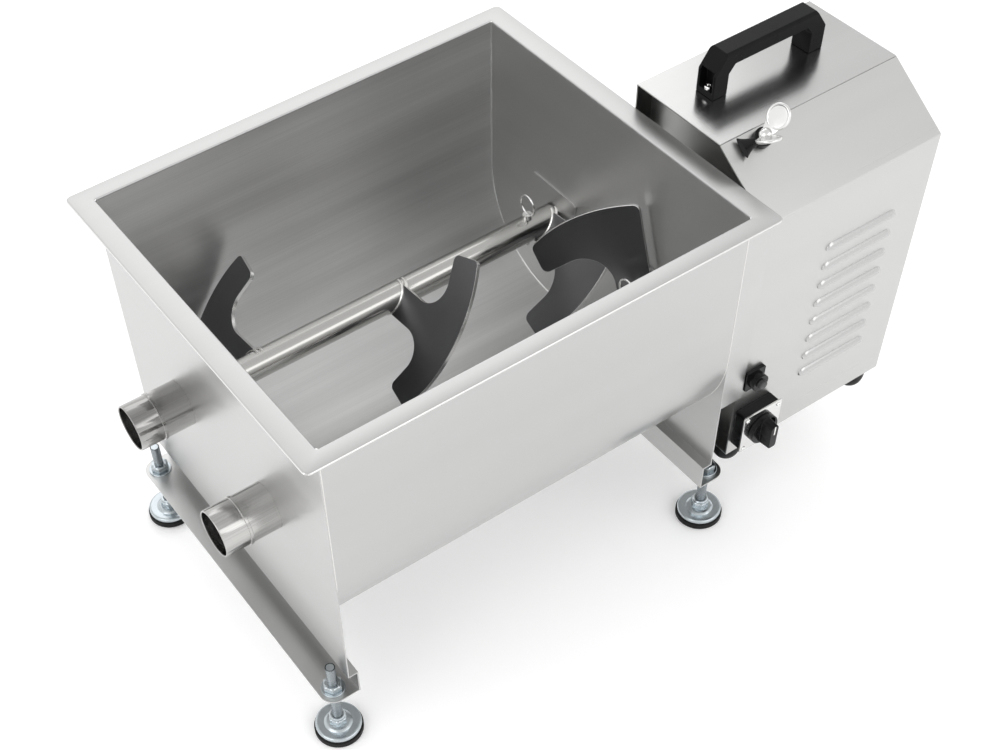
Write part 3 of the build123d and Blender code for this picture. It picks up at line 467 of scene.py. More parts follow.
def roundedLoop(low, high, radius, height, steps):
    loop = []
    corners = ((high[0], high[1], 0), (low[0], high[1], 90), (low[0], low[1], 180), (high[0], low[1], 270))
    for x, y, start in corners:
        centreX = x - radius if x == high[0] else x + radius
        centreY = y - radius if y == high[1] else y + radius
        for k in range(steps + 1):
            turn = math.radians(start + 90 * k / steps)
            loop.append(around((centreX, centreY), radius, turn, height))
    return loop


def rimMesh():
    bend, sheet = tank["rimBend"], tank["sheet"]
    reach = rimHigh.y - (middleY + innerHalf)
    hem = tank["hemThick"] / 2
    profile = [(0.0, rimTop - tank["rimDepth"])]
    for k in range(tank["bendSteps"] + 1):
        turn = math.radians(90 * k / tank["bendSteps"])
        profile.append((bend - bend * math.cos(turn), rimTop - bend + bend * math.sin(turn)))
    for k in range(tank["hemSteps"] + 1):
        turn = math.radians(90 - 180 * k / tank["hemSteps"])
        profile.append((reach - hem + hem * math.cos(turn), rimTop - hem + hem * math.sin(turn)))
    profile += [
        (reach - tank["hemWidth"], rimTop - 2 * hem),
        (reach - tank["hemWidth"], rimTop - sheet),
        (bend, rimTop - sheet),
        (sheet, rimTop - tank["rimDepth"]),
    ]
    sideReach = rimHigh.x - wallDrive
    points = []
    for out, height in profile:
        # the ends reach further than the sides, so the flange grows with the distance from the wall
        share = max(0.0, out - bend) / (reach - bend)
        outX = out + share * (sideReach - reach)
        radius = tank["innerCorner"] + min(out, bend) + share * tank["cornerRound"]
        low = (wallStub - outX, middleY - innerHalf - out)
        high = (wallDrive + outX, middleY + innerHalf + out)
        points += roundedLoop(low, high, radius, height, tank["cornerSteps"])
    faces = ringFaces(len(profile), 4 * (tank["cornerSteps"] + 1), closed=True)
    return meshFrom("rimFrame", points, faces, sharp=45.0)


def troughLine(x, out):
    # the section of the shell, out outside its inner face
    half = innerHalf + out
    near, far, height = middleY - halfSpacing, middleY + halfSpacing, shaftHeight
    radius = half - halfSpacing
    meet = math.degrees(math.acos(halfSpacing / radius))
    top, steps = rimTop - tank["rimDepth"] + tank["seamUnderRim"], tank["seamSteps"]
    line = [(x, middleY - half, top)]
    for k in range(steps + 1):
        turn = math.radians(180 + (180 - meet) * k / steps)
        line.append((x, near + radius * math.cos(turn), height + radius * math.sin(turn)))
    for k in range(steps + 1):
        turn = math.radians(180 + meet + (180 - meet) * k / steps)
        line.append((x, far + radius * math.cos(turn), height + radius * math.sin(turn)))
    line.append((x, middleY + half, top))
    return line


def onRolledEdge(face):
    # the small upright faces along the rim's outer line
    upright = max(abs(face.normal.x), abs(face.normal.y)) > tank["polishHighlightNormal"]
    fromLow = min(face.center.x - rimLow.x, face.center.y - rimLow.y)
    fromHigh = min(rimHigh.x - face.center.x, rimHigh.y - face.center.y)
    return upright and face.area < tank["polishHighlightArea"] and min(fromLow, fromHigh) < tank["polishHighlightBand"]


shell = softCopy("tank_shell", "shellSteel", 0, rimTrim)
# the inner faces get the lighter copy of the sheet steel, painted light that brightens the trough's inside
shell.data.materials.append(finishes["innerSteelPaintedLight"])
for face in shell.data.polygons:
    centre = face.center
    if centre.z > shaftHeight:
        inner = abs(centre.y - middleY) < innerHalf + tank["faceReach"]
    else:
        side = middleY + math.copysign(halfSpacing, centre.y - middleY)
        reach = innerHalf - halfSpacing + tank["faceReach"]
        inner = math.hypot(centre.y - side, centre.z - shaftHeight) < reach
    face.material_index = 1 if inner else 0
softCopy("end_plate_stub_side", "endSteel", 0.4, rimTrim)
softCopy("end_plate_drive_side", "endSteel", 0.4, rimTrim)
rim = addPiece("rimFrame", rimMesh(), "rimSteel", "tank", "brushed_sheet", "rim_frame")
rim.data.materials.append(finishes["castBright"])
for face in rim.data.polygons:
    # the rolled edge is polished where it turns down, and its lighter colour there is a painted highlight
    face.material_index = 1 if onRolledEdge(face) else 0
walls = (wallStub, wallDrive)
inside = [sweepLine(troughLine(x, 0.0), tank["seamRadius"], "edgeSteel") for x in walls]
outerLines = [troughLine(x, tank["sheet"]) for x in walls]
outside = [sweepLine(line, tank["outsideSeamRadius"], "weldSteel") for line in outerLines]
addPiece("seamWelds", joinMeshes("seamWelds", inside + outside), None, "tank", "brushed_sheet")
softCopy("hub_plates", "endSteel", 0.25)
softCopy("shaft_seals", "rubber", 0)
print("tank done")


# Bearing housings with their raised beads, and the bushes

housing = {"edge": 0.3, "beadHeight": 1.0 * mm, "beadOffset": 31.0 * mm, "beadRadius": 1.0 * mm}
softCopy("bearing_housings", "tubeSteel", housing["edge"])
softCopy("bearing_bushes", "bushPlastic", 0.3)
housingLow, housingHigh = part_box("bearing_housings")
housingRadius = (housingHigh.z - housingLow.z) / 2 - housing["beadHeight"]


def ringLine(centre, radius, axis, count=64):
    axis, across, beside = axesFrom(axis)
    turns = [2 * math.pi * k / count for k in range(count)]
    return [Vector(centre) + (across * math.cos(t) + beside * math.sin(t)) * radius for t in turns]


beads = []
for axis in (shaftAxes["near_shaft"], shaftAxes["far_shaft"]):
    centre = (wallStub - tank["sheet"] - housing["beadOffset"], axis.y, axis.z)
    ring = ringLine(centre, housingRadius, (1, 0, 0))
    beads.append(sweepLine(ring, housing["beadRadius"], "edgeSteel", closed=True))
addPiece("housingBeads", joinMeshes("housingBeads", beads), None, "tank", "tube_steel")
print("housings done")


# Paddle shafts, paddles whose ground edges carry a painted highlight, and the welds round their necks

paddle = {"edge": 0.35, "weldRadius": 1.7 * mm, "weldHalfAngle": 100.0, "weldSteps": 18}
for side in ("near", "far"):
    softCopy("paddle_shaft_" + side, "shaftSteel", 0.4)
    softCopy("drive_stub_" + side, "machined", 0.3)
    softCopy("lynch_pin_" + side, "bright", 0.25)
tubeLow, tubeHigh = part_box("paddle_shaft_near")
tubeRadius = (tubeHigh.z - tubeLow.z) / 2


def plateOf(mesh):
    # the normal of a flat plate and the middle of its thickness, from its two large faces
    largest = max(mesh.polygons, key=lambda face: face.area)
    normal = largest.normal.copy()
    level = [normal.dot(vertex.co) for vertex in mesh.vertices]
    return normal, (min(level) + max(level)) / 2, (max(level) - min(level)) / 2


def neckWelds(mesh, axis):
    normal, middle, half = plateOf(mesh)
    centre = sum((vertex.co for vertex in mesh.vertices), Vector()) / len(mesh.vertices)
    outward = Vector((0, centre.y - axis.y, centre.z - axis.z)).normalized()
    turning = Vector((1, 0, 0)).cross(outward)
    welds = []
    for face in (-1, 1):
        line = []
        for k in range(paddle["weldSteps"] + 1):
            turn = math.radians(paddle["weldHalfAngle"] * (2 * k / paddle["weldSteps"] - 1))
            spoke = (outward * math.cos(turn) + turning * math.sin(turn)) * tubeRadius
            level = middle + face * half
            x = (level - normal.y * (axis.y + spoke.y) - normal.z * (axis.z + spoke.z)) / normal.x
            line.append(Vector((x, axis.y + spoke.y, axis.z + spoke.z)))
        welds.append(sweepLine(line, paddle["weldRadius"], "weldSteel"))
    return welds


for side in ("near", "far"):
    welds = []
    for number in (1, 2, 3):
        piece = softCopy(f"paddle_{side}_{number}", "paddleSteel", 0)
        normal = plateOf(piece.data)[0]
        # the edges and their bevels take the light edgeSteel finish against the dark faces, a painted highlight on
        # the ground edges
        piece.data.materials.append(finishes["edgeSteel"])
        for face in piece.data.polygons:
            face.material_index = 1 if abs(face.normal.dot(normal)) < 0.5 else 0
        bevelOn(piece, paddle["edge"] * mm, material=1)
        welds += neckWelds(piece.data, shaftAxes[side + "_shaft"])
    welded = joinMeshes("neckWelds", welds)
    addPiece("neckWelds" + side.capitalize(), welded, None, side + "_shaft", "paddle_steel")
print("paddles done")


# Levelling feet: threaded studs, hexagonal bosses, pressed dishes, ribbed pads, nuts and washers

foot = {
    "threadPitch": 1.75 * mm,
    "threadDepth": 0.9 * mm,
    "threadShares": (0.0, 0.34, 0.72),
    "threadSides": 24,
    "flankSlope": (0.2, 0.98),
    "studRadius": 5.0 * mm,
    "nutSides": 48,
    "nutAcross": 17.0 * mm,
    "nutHeight": 8.0 * mm,
    "nutBore": 5.05 * mm,
    "nutFace": 0.46,
    "nutChamfers": (0.12, 0.88),
    "washerRadius": 12.0 * mm,
    "washerThick": 2.0 * mm,
    "washerBore": 5.3 * mm,
    "washerEdge": 0.3 * mm,
    "flangeThick": 1.5 * mm,
    "padHeight": 8.0 * mm,
    "dishHeight": 6.0 * mm,
    "bossHeight": 12.0 * mm,
    "bossHexagon": 0.78,
}
dish = {
    "edge": 0.6 * mm,
    "round": 3.0 * mm,
    "roundRise": 1.9 * mm,
    "roundSteps": 6,
    "slopeRadius": 14.5 * mm,
    "slopeRise": 4.3 * mm,
    "neckRadius": 12.5 * mm,
    "neckDrop": 0.4 * mm,
    "topRadius": 11.5 * mm,
}
collar = {
    "radius": 8.0 * mm,
    "topRadius": 7.0 * mm,
    "mouth": 5.6 * mm,
    "seat": 5.4 * mm,
    "shoulder": 0.9,
    "sunk": 0.8,
}
rubberPad = {
    "groundRadius": 22.5 * mm,
    "groundRound": 0.8 * mm,
    "radius": 24.2 * mm,
    "ridgeRadius": 24.9 * mm,
    "ridgeStarts": (1.6 * mm, 3.6 * mm, 5.6 * mm),
    "ridgeWidth": 1.1 * mm,
    "ridgeEnd": 1.6 * mm,
    "topEdge": 24.6 * mm,
    "topRound": 0.3 * mm,
    "topRadius": 23.6 * mm,
}


def threadMesh(name, centre, bottom, top, radius):
    # a root line and the two edges of a flat crest climb with the turn, one pitch in each turn
    sides, pitch = foot["threadSides"], foot["threadPitch"]
    shares = foot["threadShares"]
    count = len(shares) * (int((top - bottom) / pitch) + 3)
    points, faces = [], []
    for k in range(sides):
        turn = 2 * math.pi * k / sides
        for row in range(count):
            number, place = divmod(row, len(shares))
            height = bottom + (number - 1 + shares[place] + k / sides) * pitch
            out = radius if place else radius - foot["threadDepth"]
            height = min(max(height, bottom), top)
            points.append(around(centre, out, turn, height))
    for k in range(sides):
        after, shift = (k + 1, 0) if k + 1 < sides else (0, len(shares))
        for row in range(count - 1 - shift):
            a, b = k * count + row, after * count + row + shift
            faces.append((a, b, b + 1, a + 1))
    tip = len(points)
    points.append((centre[0], centre[1], top))
    faces += [(tip, k * count + count - 1, ((k + 1) % sides) * count + count - 1) for k in range(sides)]
    return meshFrom(name, points, faces, sharp=40.0)


def nutMesh(name, centre, bottom, height, across, hole):
    # a hexagon whose corners are turned down by a chamfer at both ends
    sides, face = foot["nutSides"], across * foot["nutFace"]
    low, high = (height * share for share in foot["nutChamfers"])
    turns = [2 * math.pi * k / sides for k in range(sides)]
    hexagon = [across / 2 / math.cos((turn % (math.pi / 3)) - math.pi / 6) for turn in turns]
    rows = [(0.0, [face] * sides), (low, hexagon), (high, hexagon), (height, [face] * sides)]
    rows += [(height, [hole] * sides), (0.0, [hole] * sides)]
    points = []
    for level, radii in rows:
        points += [around(centre, radius, turn, bottom + level) for radius, turn in zip(radii, turns)]
    return meshFrom(name, points, ringFaces(len(rows), sides, closed=True), sharp=28.0)


def dishProfile(rim, pad, top):
    # a flat underside, a rounded edge and a slope up to the boss
    profile = [(0.0, pad), (rim - dish["edge"], pad), (rim, pad + dish["edge"]), (rim, pad + dish["round"])]
    for k in range(1, dish["roundSteps"] + 1):
        turn = math.radians(90 * k / dish["roundSteps"])
        out = rim - dish["round"] + dish["round"] * math.cos(turn)
        profile.append((out, pad + dish["round"] + dish["roundRise"] * math.sin(turn)))
    profile += [(dish["slopeRadius"], pad + dish["slopeRise"]), (dish["neckRadius"], top - dish["neckDrop"])]
    return profile + [(dish["topRadius"], top), (0.0, top)]


def collarProfile(start, height):
    # a chamfered collar, sunk where the stud goes in
    shoulder, end, sunk = start + height * collar["shoulder"], start + height, start + height * collar["sunk"]
    profile = [(0.0, start), (collar["radius"], start), (collar["radius"], shoulder)]
    profile += [(collar["topRadius"], end), (collar["mouth"], end), (collar["seat"], sunk)]
    return profile + [(0.0, sunk)]


def padProfile(top):
    # three ridges run round the rubber
    profile = [(0.0, 0.0), (rubberPad["groundRadius"], 0.0), (rubberPad["radius"], rubberPad["groundRound"])]
    for level in rubberPad["ridgeStarts"]:
        ridge = rubberPad["ridgeRadius"]
        profile += [(ridge, level), (ridge, level + rubberPad["ridgeWidth"])]
        profile.append((rubberPad["radius"], level + rubberPad["ridgeEnd"]))
    profile.append((rubberPad["topEdge"], top - rubberPad["topRound"]))
    return profile + [(rubberPad["topRadius"], top), (0.0, top)]


def washerProfile():
    bore, radius = foot["washerBore"], foot["washerRadius"]
    edge, thick = foot["washerEdge"], foot["washerThick"]
    profile = [(bore, 0.0), (radius - edge, 0.0), (radius, edge), (radius, thick - edge)]
    return profile + [(radius - edge, thick), (bore, thick), (bore, 0.0)]


def levellingFoot(corner):
    node = "levelling_foot_" + corner
    low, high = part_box(node)
    centre = ((low.x + high.x) / 2, (low.y + high.y) / 2)
    pad, boss = foot["padHeight"], foot["bossHeight"]
    dishTop = pad + foot["dishHeight"]
    rim = (high.x - low.x) / 2
    dishMesh = latheMesh("dish", dishProfile(rim, pad, dishTop), (*centre, 0.0), sides=72)
    hexagon = boss * foot["bossHexagon"]
    bossMesh = nutMesh("boss", centre, dishTop, hexagon, foot["nutAcross"], foot["studRadius"])
    collarMesh = latheMesh("collar", collarProfile(dishTop, boss), (*centre, 0.0))
    threadStart = dishTop + boss * collar["sunk"]
    thread = threadMesh("thread", centre, threadStart, high.z, foot["studRadius"])
    parts = [withFinish(mesh, "zinc") for mesh in (dishMesh, bossMesh, collarMesh, thread)]
    thread.materials.append(finishes["threadShade"])
    least, most = foot["flankSlope"]
    for face in thread.polygons:
        # the flanks take a darker finish, painted shade, so the crests read as lighter lines
        face.material_index = 1 if least < abs(face.normal.z) < most else 0
    addPiece(camelName(node), joinMeshes(camelName(node), parts), None, bodyOf[node], "zinc", node)
    padNode = "foot_pad_" + corner
    padMesh = latheMesh(camelName(padNode), padProfile(pad), (*centre, 0.0), sides=72)
    addPiece(camelName(padNode), padMesh, "rubber", bodyOf[padNode], "foot_rubber", padNode)
    return centre


feet = [levellingFoot(corner) for corner in ("near_left", "far_left", "near_right", "far_right")]
flangeTop = stubPlateLow.z + foot["flangeThick"]
clampPoints = [(x, y, 0.0) for x, y in feet]
washer, nut = foot["washerThick"], foot["nutHeight"]
clampParts = []
for start, way in ((flangeTop, 1), (flangeTop - foot["flangeThick"], -1)):
    washerStart = start if way > 0 else start - washer
    nutStart = start + washer if way > 0 else start - washer - nut
    washerShape = latheMesh("washer", washerProfile(), (0, 0, washerStart))
    nutShape = nutMesh("nut", (0, 0), nutStart, nut, foot["nutAcross"], foot["nutBore"])
    clampParts.append(copyShape(washerShape, clampPoints, "zinc"))
    clampParts.append(copyShape(nutShape, clampPoints, "zinc", sharp=28.0))
addPiece("flangeNuts", joinMeshes("flangeNuts", clampParts), None, "tank", "zinc", "flange_nuts")
print("feet done")


# Drive unit: near cover with pressed louvres, top cover, panels and rubber feet

drive = {
    "sheet": 1.5 * mm,
    "bend": 1.6 * mm,
    "rise": 4.0 * mm,
    "count": 8,
    "length": 88.0 * mm,
    "height": 13.0 * mm,
    "bendHeight": 400.0 * mm,
    "lowest": 164.0 * mm,
    "highest": 328.0 * mm,
    "centre": 130.5 * mm,
    "lip": 0.9 * mm,
    "louvreColumns": 56,
    "louvreRows": 8,
    "swellPower": 0.8,
    "slotShare": 0.32,
    "bendSteps": 5,
    "footRadius": 15.0 * mm,
    "footFlat": 6.0 * mm,
    "footDome": 0.62,
    "footSteps": 9,
    "footEdge": 3.0 * mm,
    "footLedge": 2.4 * mm,
    "footInset": 0.8 * mm,
}
coverLow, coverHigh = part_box("drive_near_cover")
faceY = coverLow.y + drive["rise"]


def louvreMesh():
    # a hood that swells from the sheet at its top to an open lip, with rounded closed ends
    half, hood, rise = drive["length"] / 2, drive["height"] / 2, drive["rise"]
    columns, rows = drive["louvreColumns"], drive["louvreRows"]
    straight = half - hood
    points, faces = [], []
    for row in range(rows + 1):
        down = row / rows
        for column in range(columns + 1):
            along = -half + 2 * half * (0.5 - 0.5 * math.cos(math.pi * column / columns))
            past = max(0.0, abs(along) - straight) / hood
            arch = math.sqrt(max(0.0, 1 - past * past))
            up = hood * arch * (1 - down)
            swell = rise * arch * math.sin(0.5 * math.pi * down) ** drive["swellPower"]
            points.append((along, -swell, up))
    for row in range(rows):
        for column in range(columns):
            a = row * (columns + 1) + column
            faces.append((a, a + 1, a + columns + 2, a + columns + 1))
    return meshFrom("louvre", points, faces, sharp=60.0)


def coverMesh():
    # outer surface of the near cover, with a slot behind each louvre
    step = (drive["highest"] - drive["lowest"]) / (drive["count"] - 1)
    lows = [drive["lowest"] + k * step for k in range(drive["count"])]
    slots = [(low, low + drive["height"] * drive["slotShare"]) for low in lows]
    slotHalf = drive["length"] / 2 - drive["height"] / 2
    middle = coverLow.x + drive["centre"]
    xs = [coverLow.x, middle - slotHalf, middle + slotHalf, coverHigh.x]
    line = [(faceY, coverLow.z)]
    marks = []
    for low, high in slots:
        marks.append(len(line))
        line += [(faceY, low), (faceY, high)]
    slope = Vector((0, coverHigh.y - faceY, coverHigh.z - drive["bendHeight"])).normalized()
    turn = math.atan2(slope.y, slope.z)
    reach = drive["bend"] * math.tan(turn / 2)
    for k in range(drive["bendSteps"] + 1):
        angle = turn * k / drive["bendSteps"]
        back = faceY + drive["bend"] * (1 - math.cos(angle))
        line.append((back, drive["bendHeight"] - reach + drive["bend"] * math.sin(angle)))
    line.append((coverHigh.y, coverHigh.z))
    points = [(x, y, z) for y, z in line for x in xs]
    faces = []
    for row in range(len(line) - 1):
        for column in range(3):
            if column == 1 and row in marks:
                continue
            a = row * 4 + column
            faces.append((a, a + 1, a + 5, a + 4))
    return meshFrom("driveNearCover", points, faces, sharp=30.0), middle, step


coverSheet, louvreMiddle, louvreStep = coverMesh()
nearCover = addPiece("driveNearCover", coverSheet, "coverSteel", "drive_unit", "drive_sheet",
                     "drive_near_cover")
thicken(nearCover, drive["sheet"])
louvrePoints = [(louvreMiddle, faceY, drive["lowest"] + k * louvreStep) for k in range(drive["count"])]
louvreCopies = copyShape(louvreMesh(), louvrePoints, "topSteel", sharp=60.0)
louvres = addPiece("louvres", louvreCopies, None, "drive_unit", "drive_sheet")
thicken(louvres, drive["lip"])
softCopy("drive_top_cover", "topSteel", 0.5)
softCopy("drive_end_panel", "coverSteel", 0.5)
for node in ("drive_mounting_plate", "drive_floor"):
    softCopy(node, "coverSteel", 0.3)


def benchFeet():
    low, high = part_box("bench_feet")
    radius, flat, height = drive["footRadius"], drive["footFlat"], high.z - low.z
    profile = [(0.0, 0.0), (flat, 0.0)]
    for k in range(1, drive["footSteps"] + 1):
        turn = math.radians(90 * k / drive["footSteps"])
        out = flat + (radius - flat) * math.sin(turn)
        profile.append((out, height * drive["footDome"] * (1 - math.cos(turn))))
    inset = radius - drive["footInset"]
    profile += [(radius, height - drive["footEdge"]), (inset, height - drive["footLedge"])]
    profile += [(inset, height), (0.0, height)]
    shape = latheMesh("benchFoot", profile, (0, 0, low.z), sides=56)
    rowX, rowY = (low.x + radius, high.x - radius), (low.y + radius, high.y - radius)
    spots = [(x, y, 0.0) for x in rowX for y in rowY]
    addPiece("benchFeet", copyShape(shape, spots, "rubber"), None, "drive_unit", "foot_rubber", "bench_feet")


benchFeet()
print("drive unit done")


# Handle and its screws

handle = {"edge": 0.9, "screwRadius": 4.0 * mm}
screw = {
    "skirt": 0.45,
    "flat": 0.62,
    "roundSteps": 5,
    "recess": ((0.42, 1.0), (0.3, 0.55), (0.0, 0.35)),
}
softCopy("handle", "handlePlastic", handle["edge"])


def screwHead(radius, height):
    # a pan head with a round sunk recess, as shares of its radius and height
    skirt, flat, steps = screw["skirt"], screw["flat"], screw["roundSteps"]
    profile = [(radius, 0.0), (radius, height * skirt)]
    for k in range(1, steps + 1):
        turn = math.radians(90 * k / steps)
        out = flat + (1 - flat) * math.cos(turn)
        profile.append((radius * out, height * (skirt + (1 - skirt) * math.sin(turn))))
    profile += [(radius * out, height * up) for out, up in screw["recess"]]
    return latheMesh("screwHead", profile, (0, 0, 0), sides=24)


screwLow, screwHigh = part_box("handle_screws")
screwSpots = [(x, (screwLow.y + screwHigh.y) / 2, screwLow.z)
              for x in (screwLow.x + handle["screwRadius"], screwHigh.x - handle["screwRadius"])]
screwShape = screwHead(handle["screwRadius"], screwHigh.z - screwLow.z)
screwCopies = copyShape(screwShape, screwSpots, "bright")
addPiece("handleScrews", screwCopies, None, "drive_unit", "bright_steel", "handle_screws")
print("handle done")


# Switch, breaker, wing screw and keeper

switch = {
    "plateEdge": 0.5,
    "markWidth": 1.6 * mm,
    "markLength": 11.0 * mm,
    "markThick": 0.2 * mm,
    "markDrop": 2.2 * mm,
    "markDepth": 0.6 * mm,
    "screwRadius": 2.4 * mm,
}
softCopy("switch_box", "knobPlastic", 0.8)
softCopy("switch_plate", "plateMetal", switch["plateEdge"])
knob = softCopy("switch_knob", "knobPlastic", 1.0)
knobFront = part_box("switch_knob")[0].y
for vertex in knob.data.vertices:
    # the grip's face steps back by the thickness of its printed mark
    if vertex.co.y < knobFront + switch["markThick"]:
        vertex.co.y = knobFront + switch["markThick"]
softCopy("breaker", "knobPlastic", 0.5)
softCopy("breaker_button", "buttonPlastic", 0.3)
softCopy("keeper", "knobPlastic", 0.4)
softCopy("wing_nut", "machined", 0.2)


def switchScrews():
    low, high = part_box("switch_screws")
    radius = switch["screwRadius"]
    shape = screwHead(radius, high.y - low.y)
    shape.transform(Matrix.Rotation(math.radians(90), 4, "X"))
    rowX, rowZ = (low.x + radius, high.x - radius), (low.z + radius, high.z - radius)
    copies = copyShape(shape, [(x, high.y, z) for x in rowX for z in rowZ], "bright")
    addPiece("switchScrews", copies, None, "drive_unit", "bright_steel", "switch_screws")


def knobMark():
    low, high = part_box("switch_knob")
    middle, top = (low.x + high.x) / 2, high.z - switch["markDrop"]
    half, face = switch["markWidth"] / 2, low.y
    left, right, bottom = middle - half, middle + half, top - switch["markLength"]
    points = []
    for y in (face, face + switch["markDepth"]):
        points += [(left, y, bottom), (right, y, bottom), (right, y, top), (left, y, top)]
    faces = [(0, 1, 2, 3), (7, 6, 5, 4), (0, 4, 5, 1), (1, 5, 6, 2), (2, 6, 7, 3), (3, 7, 4, 0)]
    addPiece("knobMark", meshFrom("knobMark", points, faces), "whitePaint", "switch_knob", "black_plastic")


def torusMesh(name, centre, radius, wire, across, beside, sides=40, tube=12):
    normal = across.cross(beside)
    points = []
    for k in range(sides):
        turn = 2 * math.pi * k / sides
        spoke = across * math.cos(turn) + beside * math.sin(turn)
        for j in range(tube):
            bend = 2 * math.pi * j / tube
            points.append(centre + spoke * (radius + wire * math.cos(bend)) + normal * wire * math.sin(bend))
    return meshFrom(name, points, ringFaces(sides, tube, closed=True), sharp=60.0)


wing = {
    "turn": 35.0,
    "twist": 52.0,
    "shank": 3.9 * mm,
    "shankLength": 10.0 * mm,
    "boss": 6.8 * mm,
    "base": 6.6 * mm,
    "bossSkirt": 2.0 * mm,
    "bossDome": 7.0 * mm,
    "out": 12.5 * mm,
    "up": 23.0 * mm,
    "ear": 12.0 * mm,
    "rim": 1.5 * mm,
    "web": 1.0 * mm,
    "root": 2.2 * mm,
    "rootOut": 2.5 * mm,
    "rootUp": 3.5 * mm,
    "webSteps": 14,
    "webSection": ((-1, -0.6), (0, -1), (1, -0.6), (1, 0.6), (0, 1), (-1, 0.6)),
}


def wingWeb(centre, root, toward, side, normal):
    # the dished plate inside an ear's rim, thickest at its root
    full = wing["ear"] - wing["rim"]
    steps, section = wing["webSteps"], wing["webSection"]
    count = len(section)
    points = []
    for k in range(steps + 1):
        place = root.lerp(centre + toward * full, k / steps)
        past = max(0.0, (place - centre).dot(toward))
        before = max(0.0, (centre - place).dot(toward)) / (centre - root).length
        half = math.sqrt(max(0.0, full * full - past * past)) if past else full * (1 - 0.5 * before)
        thick = wing["web"] + (wing["root"] - wing["web"]) * before ** 1.5
        points += [place + side * half * w + normal * thick * t for w, t in section]
    faces = ringFaces(steps + 1, count)
    faces += [tuple(range(count)), tuple(range(len(points) - 1, len(points) - count - 1, -1))]
    return meshFrom("wingWeb", points, faces, sharp=50.0)


def wingScrew():
    # a cast head: a domed boss and two dished ears with thick round rims, on a plain shank
    joint = next(j for j in frame["joints"] if j["child"] == "wing_screw")
    axis, seat = Vector(joint["axis"]).normalized(), Vector(joint["pos_m"])
    if axis.z < 0:
        axis.negate()
    slope = Vector((0, axis.y, axis.z))
    along = Matrix.Rotation(math.radians(wing["turn"]), 3, slope) @ Vector((1, 0, 0))
    base = wing["base"]
    skirt = base + wing["bossSkirt"]
    boss = [(0.0, -wing["shankLength"]), (wing["shank"], -wing["shankLength"]), (wing["shank"], base)]
    boss += [(wing["boss"], base), (wing["boss"], skirt)]
    for k in range(1, 10):
        turn = math.radians(10 * k)
        boss.append((wing["boss"] * math.cos(turn), skirt + wing["bossDome"] * math.sin(turn)))
    meshes = [latheMesh("wingBoss", boss, seat, slope, 40)]
    for hand in (1, -1):
        centre = seat + along * hand * wing["out"] + slope * wing["up"]
        root = seat + along * hand * wing["rootOut"] + slope * (base + wing["rootUp"])
        toward = (centre - root).normalized()
        flat = along.cross(slope)
        normal = (Matrix.Rotation(math.radians(wing["twist"] * hand), 3, toward) @ flat).normalized()
        side = toward.cross(normal).normalized()
        meshes.append(torusMesh("wingRim", centre, wing["ear"] - wing["rim"], wing["rim"], toward, side))
        meshes.append(wingWeb(centre, root, toward, side, normal))
    for mesh in meshes:
        withFinish(mesh, "castBright")
    addPiece("wingScrew", joinMeshes("wingScrew", meshes), None, "wing_screw", "bright_steel", "wing_screw")


switchScrews()
knobMark()
wingScrew()
print("controls done")


# Inner pieces keep their solids and take a finish

innerFinish = {
    "gear_case_plate": "castMetal", "gear_case_cover": "castMetal", "gearbox": "castMetal",
    "gear_near": "machined", "gear_far": "machined", "idler_near": "machined", "idler_far": "machined",
    "idler_pins": "machined", "drive_standoffs": "machined", "output_shaft": "machined",
    "case_bushes": "bronze", "motor": "motorPaint", "capacitor": "canPlastic",
}
for node, finish in innerFinish.items():
    mesh = frame["nodes"][node].data
    mesh.materials.clear()
    mesh.materials.append(finishes[finish])
print("inner pieces done")


# Camera at the photograph's place, pale floor and soft light

shot = {
    "eye": (-0.6615, -0.8950, 1.2904),
    "turn": 29.30,
    "down": 52.97,
    "roll": -5.64,
    "lens": 54.21,
    "shift": (0.1142, 0.2096),
}


def placeCamera():
    turn, down, roll = (math.radians(shot[key]) for key in ("turn", "down", "roll"))
    forward = Vector((math.sin(turn) * math.cos(down), math.cos(turn) * math.cos(down), -math.sin(down)))
    level = forward.cross(Vector((0, 0, 1))).normalized()
    upright = level.cross(forward)
    right = level * math.cos(roll) + upright * math.sin(roll)
    up = upright * math.cos(roll) - level * math.sin(roll)
    data = bpy.data.cameras.new("photoCamera")
    data.sensor_width = 36.0
    data.lens = shot["lens"]
    data.shift_x, data.shift_y = shot["shift"]
    data.clip_start, data.clip_end = 0.05, 50.0
    camera = bpy.data.objects.new("photoCamera", data)
    bpy.context.scene.collection.objects.link(camera)
    turnMatrix = Matrix((right, up, -forward)).transposed().to_4x4()
    camera.matrix_world = Matrix.Translation(Vector(shot["eye"])) @ turnMatrix
    bpy.context.scene.camera = camera


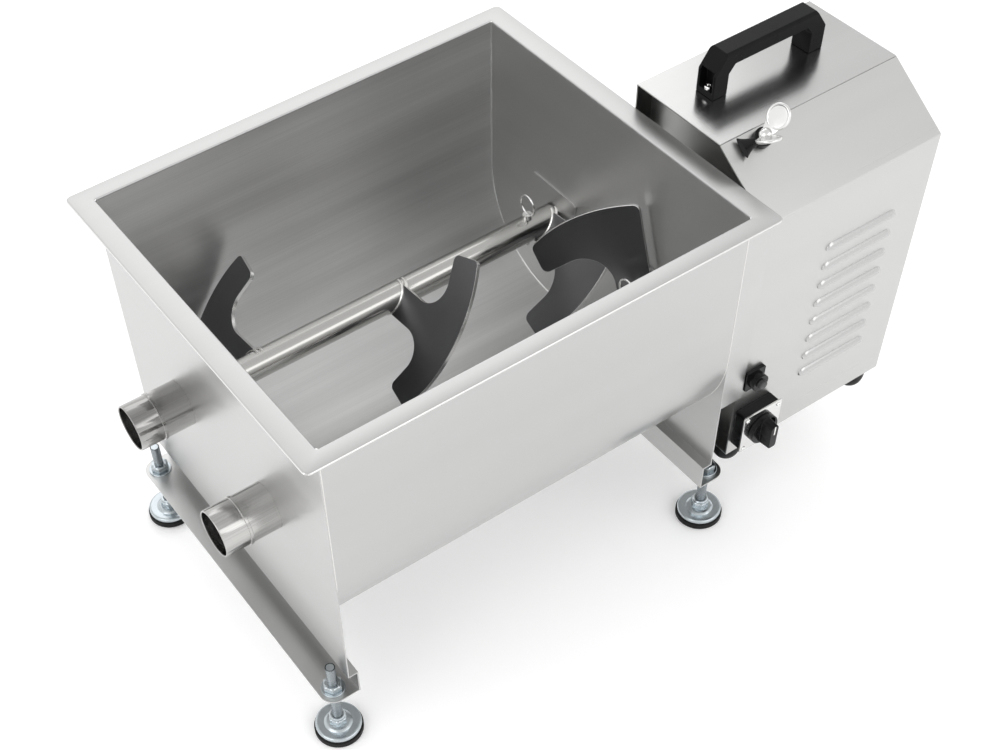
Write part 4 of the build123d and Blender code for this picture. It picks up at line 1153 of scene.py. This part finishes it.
light = {
    "horizon": 1.25,
    "zenith": 0.84,
    "floorGlow": 0.13,
    "floorHalf": 8,
    "floorGrain": 60.0,
    "panels": (
        # place, aimed at, width, height, power
        ((0.9, 2.2, 2.4), (0.0, 0.0, 0.3), 2.6, 1.8, 12.0),
        ((-2.4, -0.4, 2.2), (0.0, 0.0, 0.3), 1.8, 2.0, 14.0),
        ((0.8, -2.4, 2.2), (0.1, 0.0, 0.2), 2.6, 1.4, 12.0),
    ),
}


def makeStudio():
    floorMaterial, tree, shader = newShader("paleFloor", (0.98, 0.98, 0.98), 0.7, 0.0)
    shader.inputs["Emission Color"].default_value = (1.0, 1.0, 1.0, 1.0)
    shader.inputs["Emission Strength"].default_value = light["floorGlow"]
    bumpOn(tree, shader, noiseIn(tree, [light["floorGrain"]] * 3), 0.02, relief["floor"])
    mesh = bpy.data.meshes.new("floor")
    half = light["floorHalf"]
    corners = [(-half, -half, 0), (half, -half, 0), (half, half, 0), (-half, half, 0)]
    mesh.from_pydata(corners, [], [(0, 1, 2, 3)])
    mesh.materials.append(floorMaterial)
    floor = bpy.data.objects.new("floor", mesh)
    bpy.context.scene.collection.objects.link(floor)
    world = bpy.data.worlds.new("studio")
    world.use_nodes = True
    tree = world.node_tree
    coords = tree.nodes.new("ShaderNodeTexCoord")
    parts = tree.nodes.new("ShaderNodeSeparateXYZ")
    fade = tree.nodes.new("ShaderNodeMapRange")
    fade.inputs["To Min"].default_value = light["horizon"]
    fade.inputs["To Max"].default_value = light["zenith"]
    tree.links.new(coords.outputs["Generated"], parts.inputs["Vector"])
    tree.links.new(parts.outputs["Z"], fade.inputs["Value"])
    tree.nodes["Background"].inputs["Color"].default_value = (1.0, 1.0, 1.0, 1.0)
    tree.links.new(fade.outputs["Result"], tree.nodes["Background"].inputs["Strength"])
    bpy.context.scene.world = world
    for number, (place, aim, width, height, power) in enumerate(light["panels"]):
        data = bpy.data.lights.new(f"panel{number}", "AREA")
        data.shape = "RECTANGLE"
        data.size, data.size_y = width, height
        data.energy = power
        panel = bpy.data.objects.new(f"panel{number}", data)
        panel.location = place
        panel.rotation_euler = (Vector(aim) - Vector(place)).to_track_quat("-Z", "Y").to_euler()
        bpy.context.scene.collection.objects.link(panel)


placeCamera()
makeStudio()
bpy.context.scene.view_settings.view_transform = "Standard"
print("camera and light done")
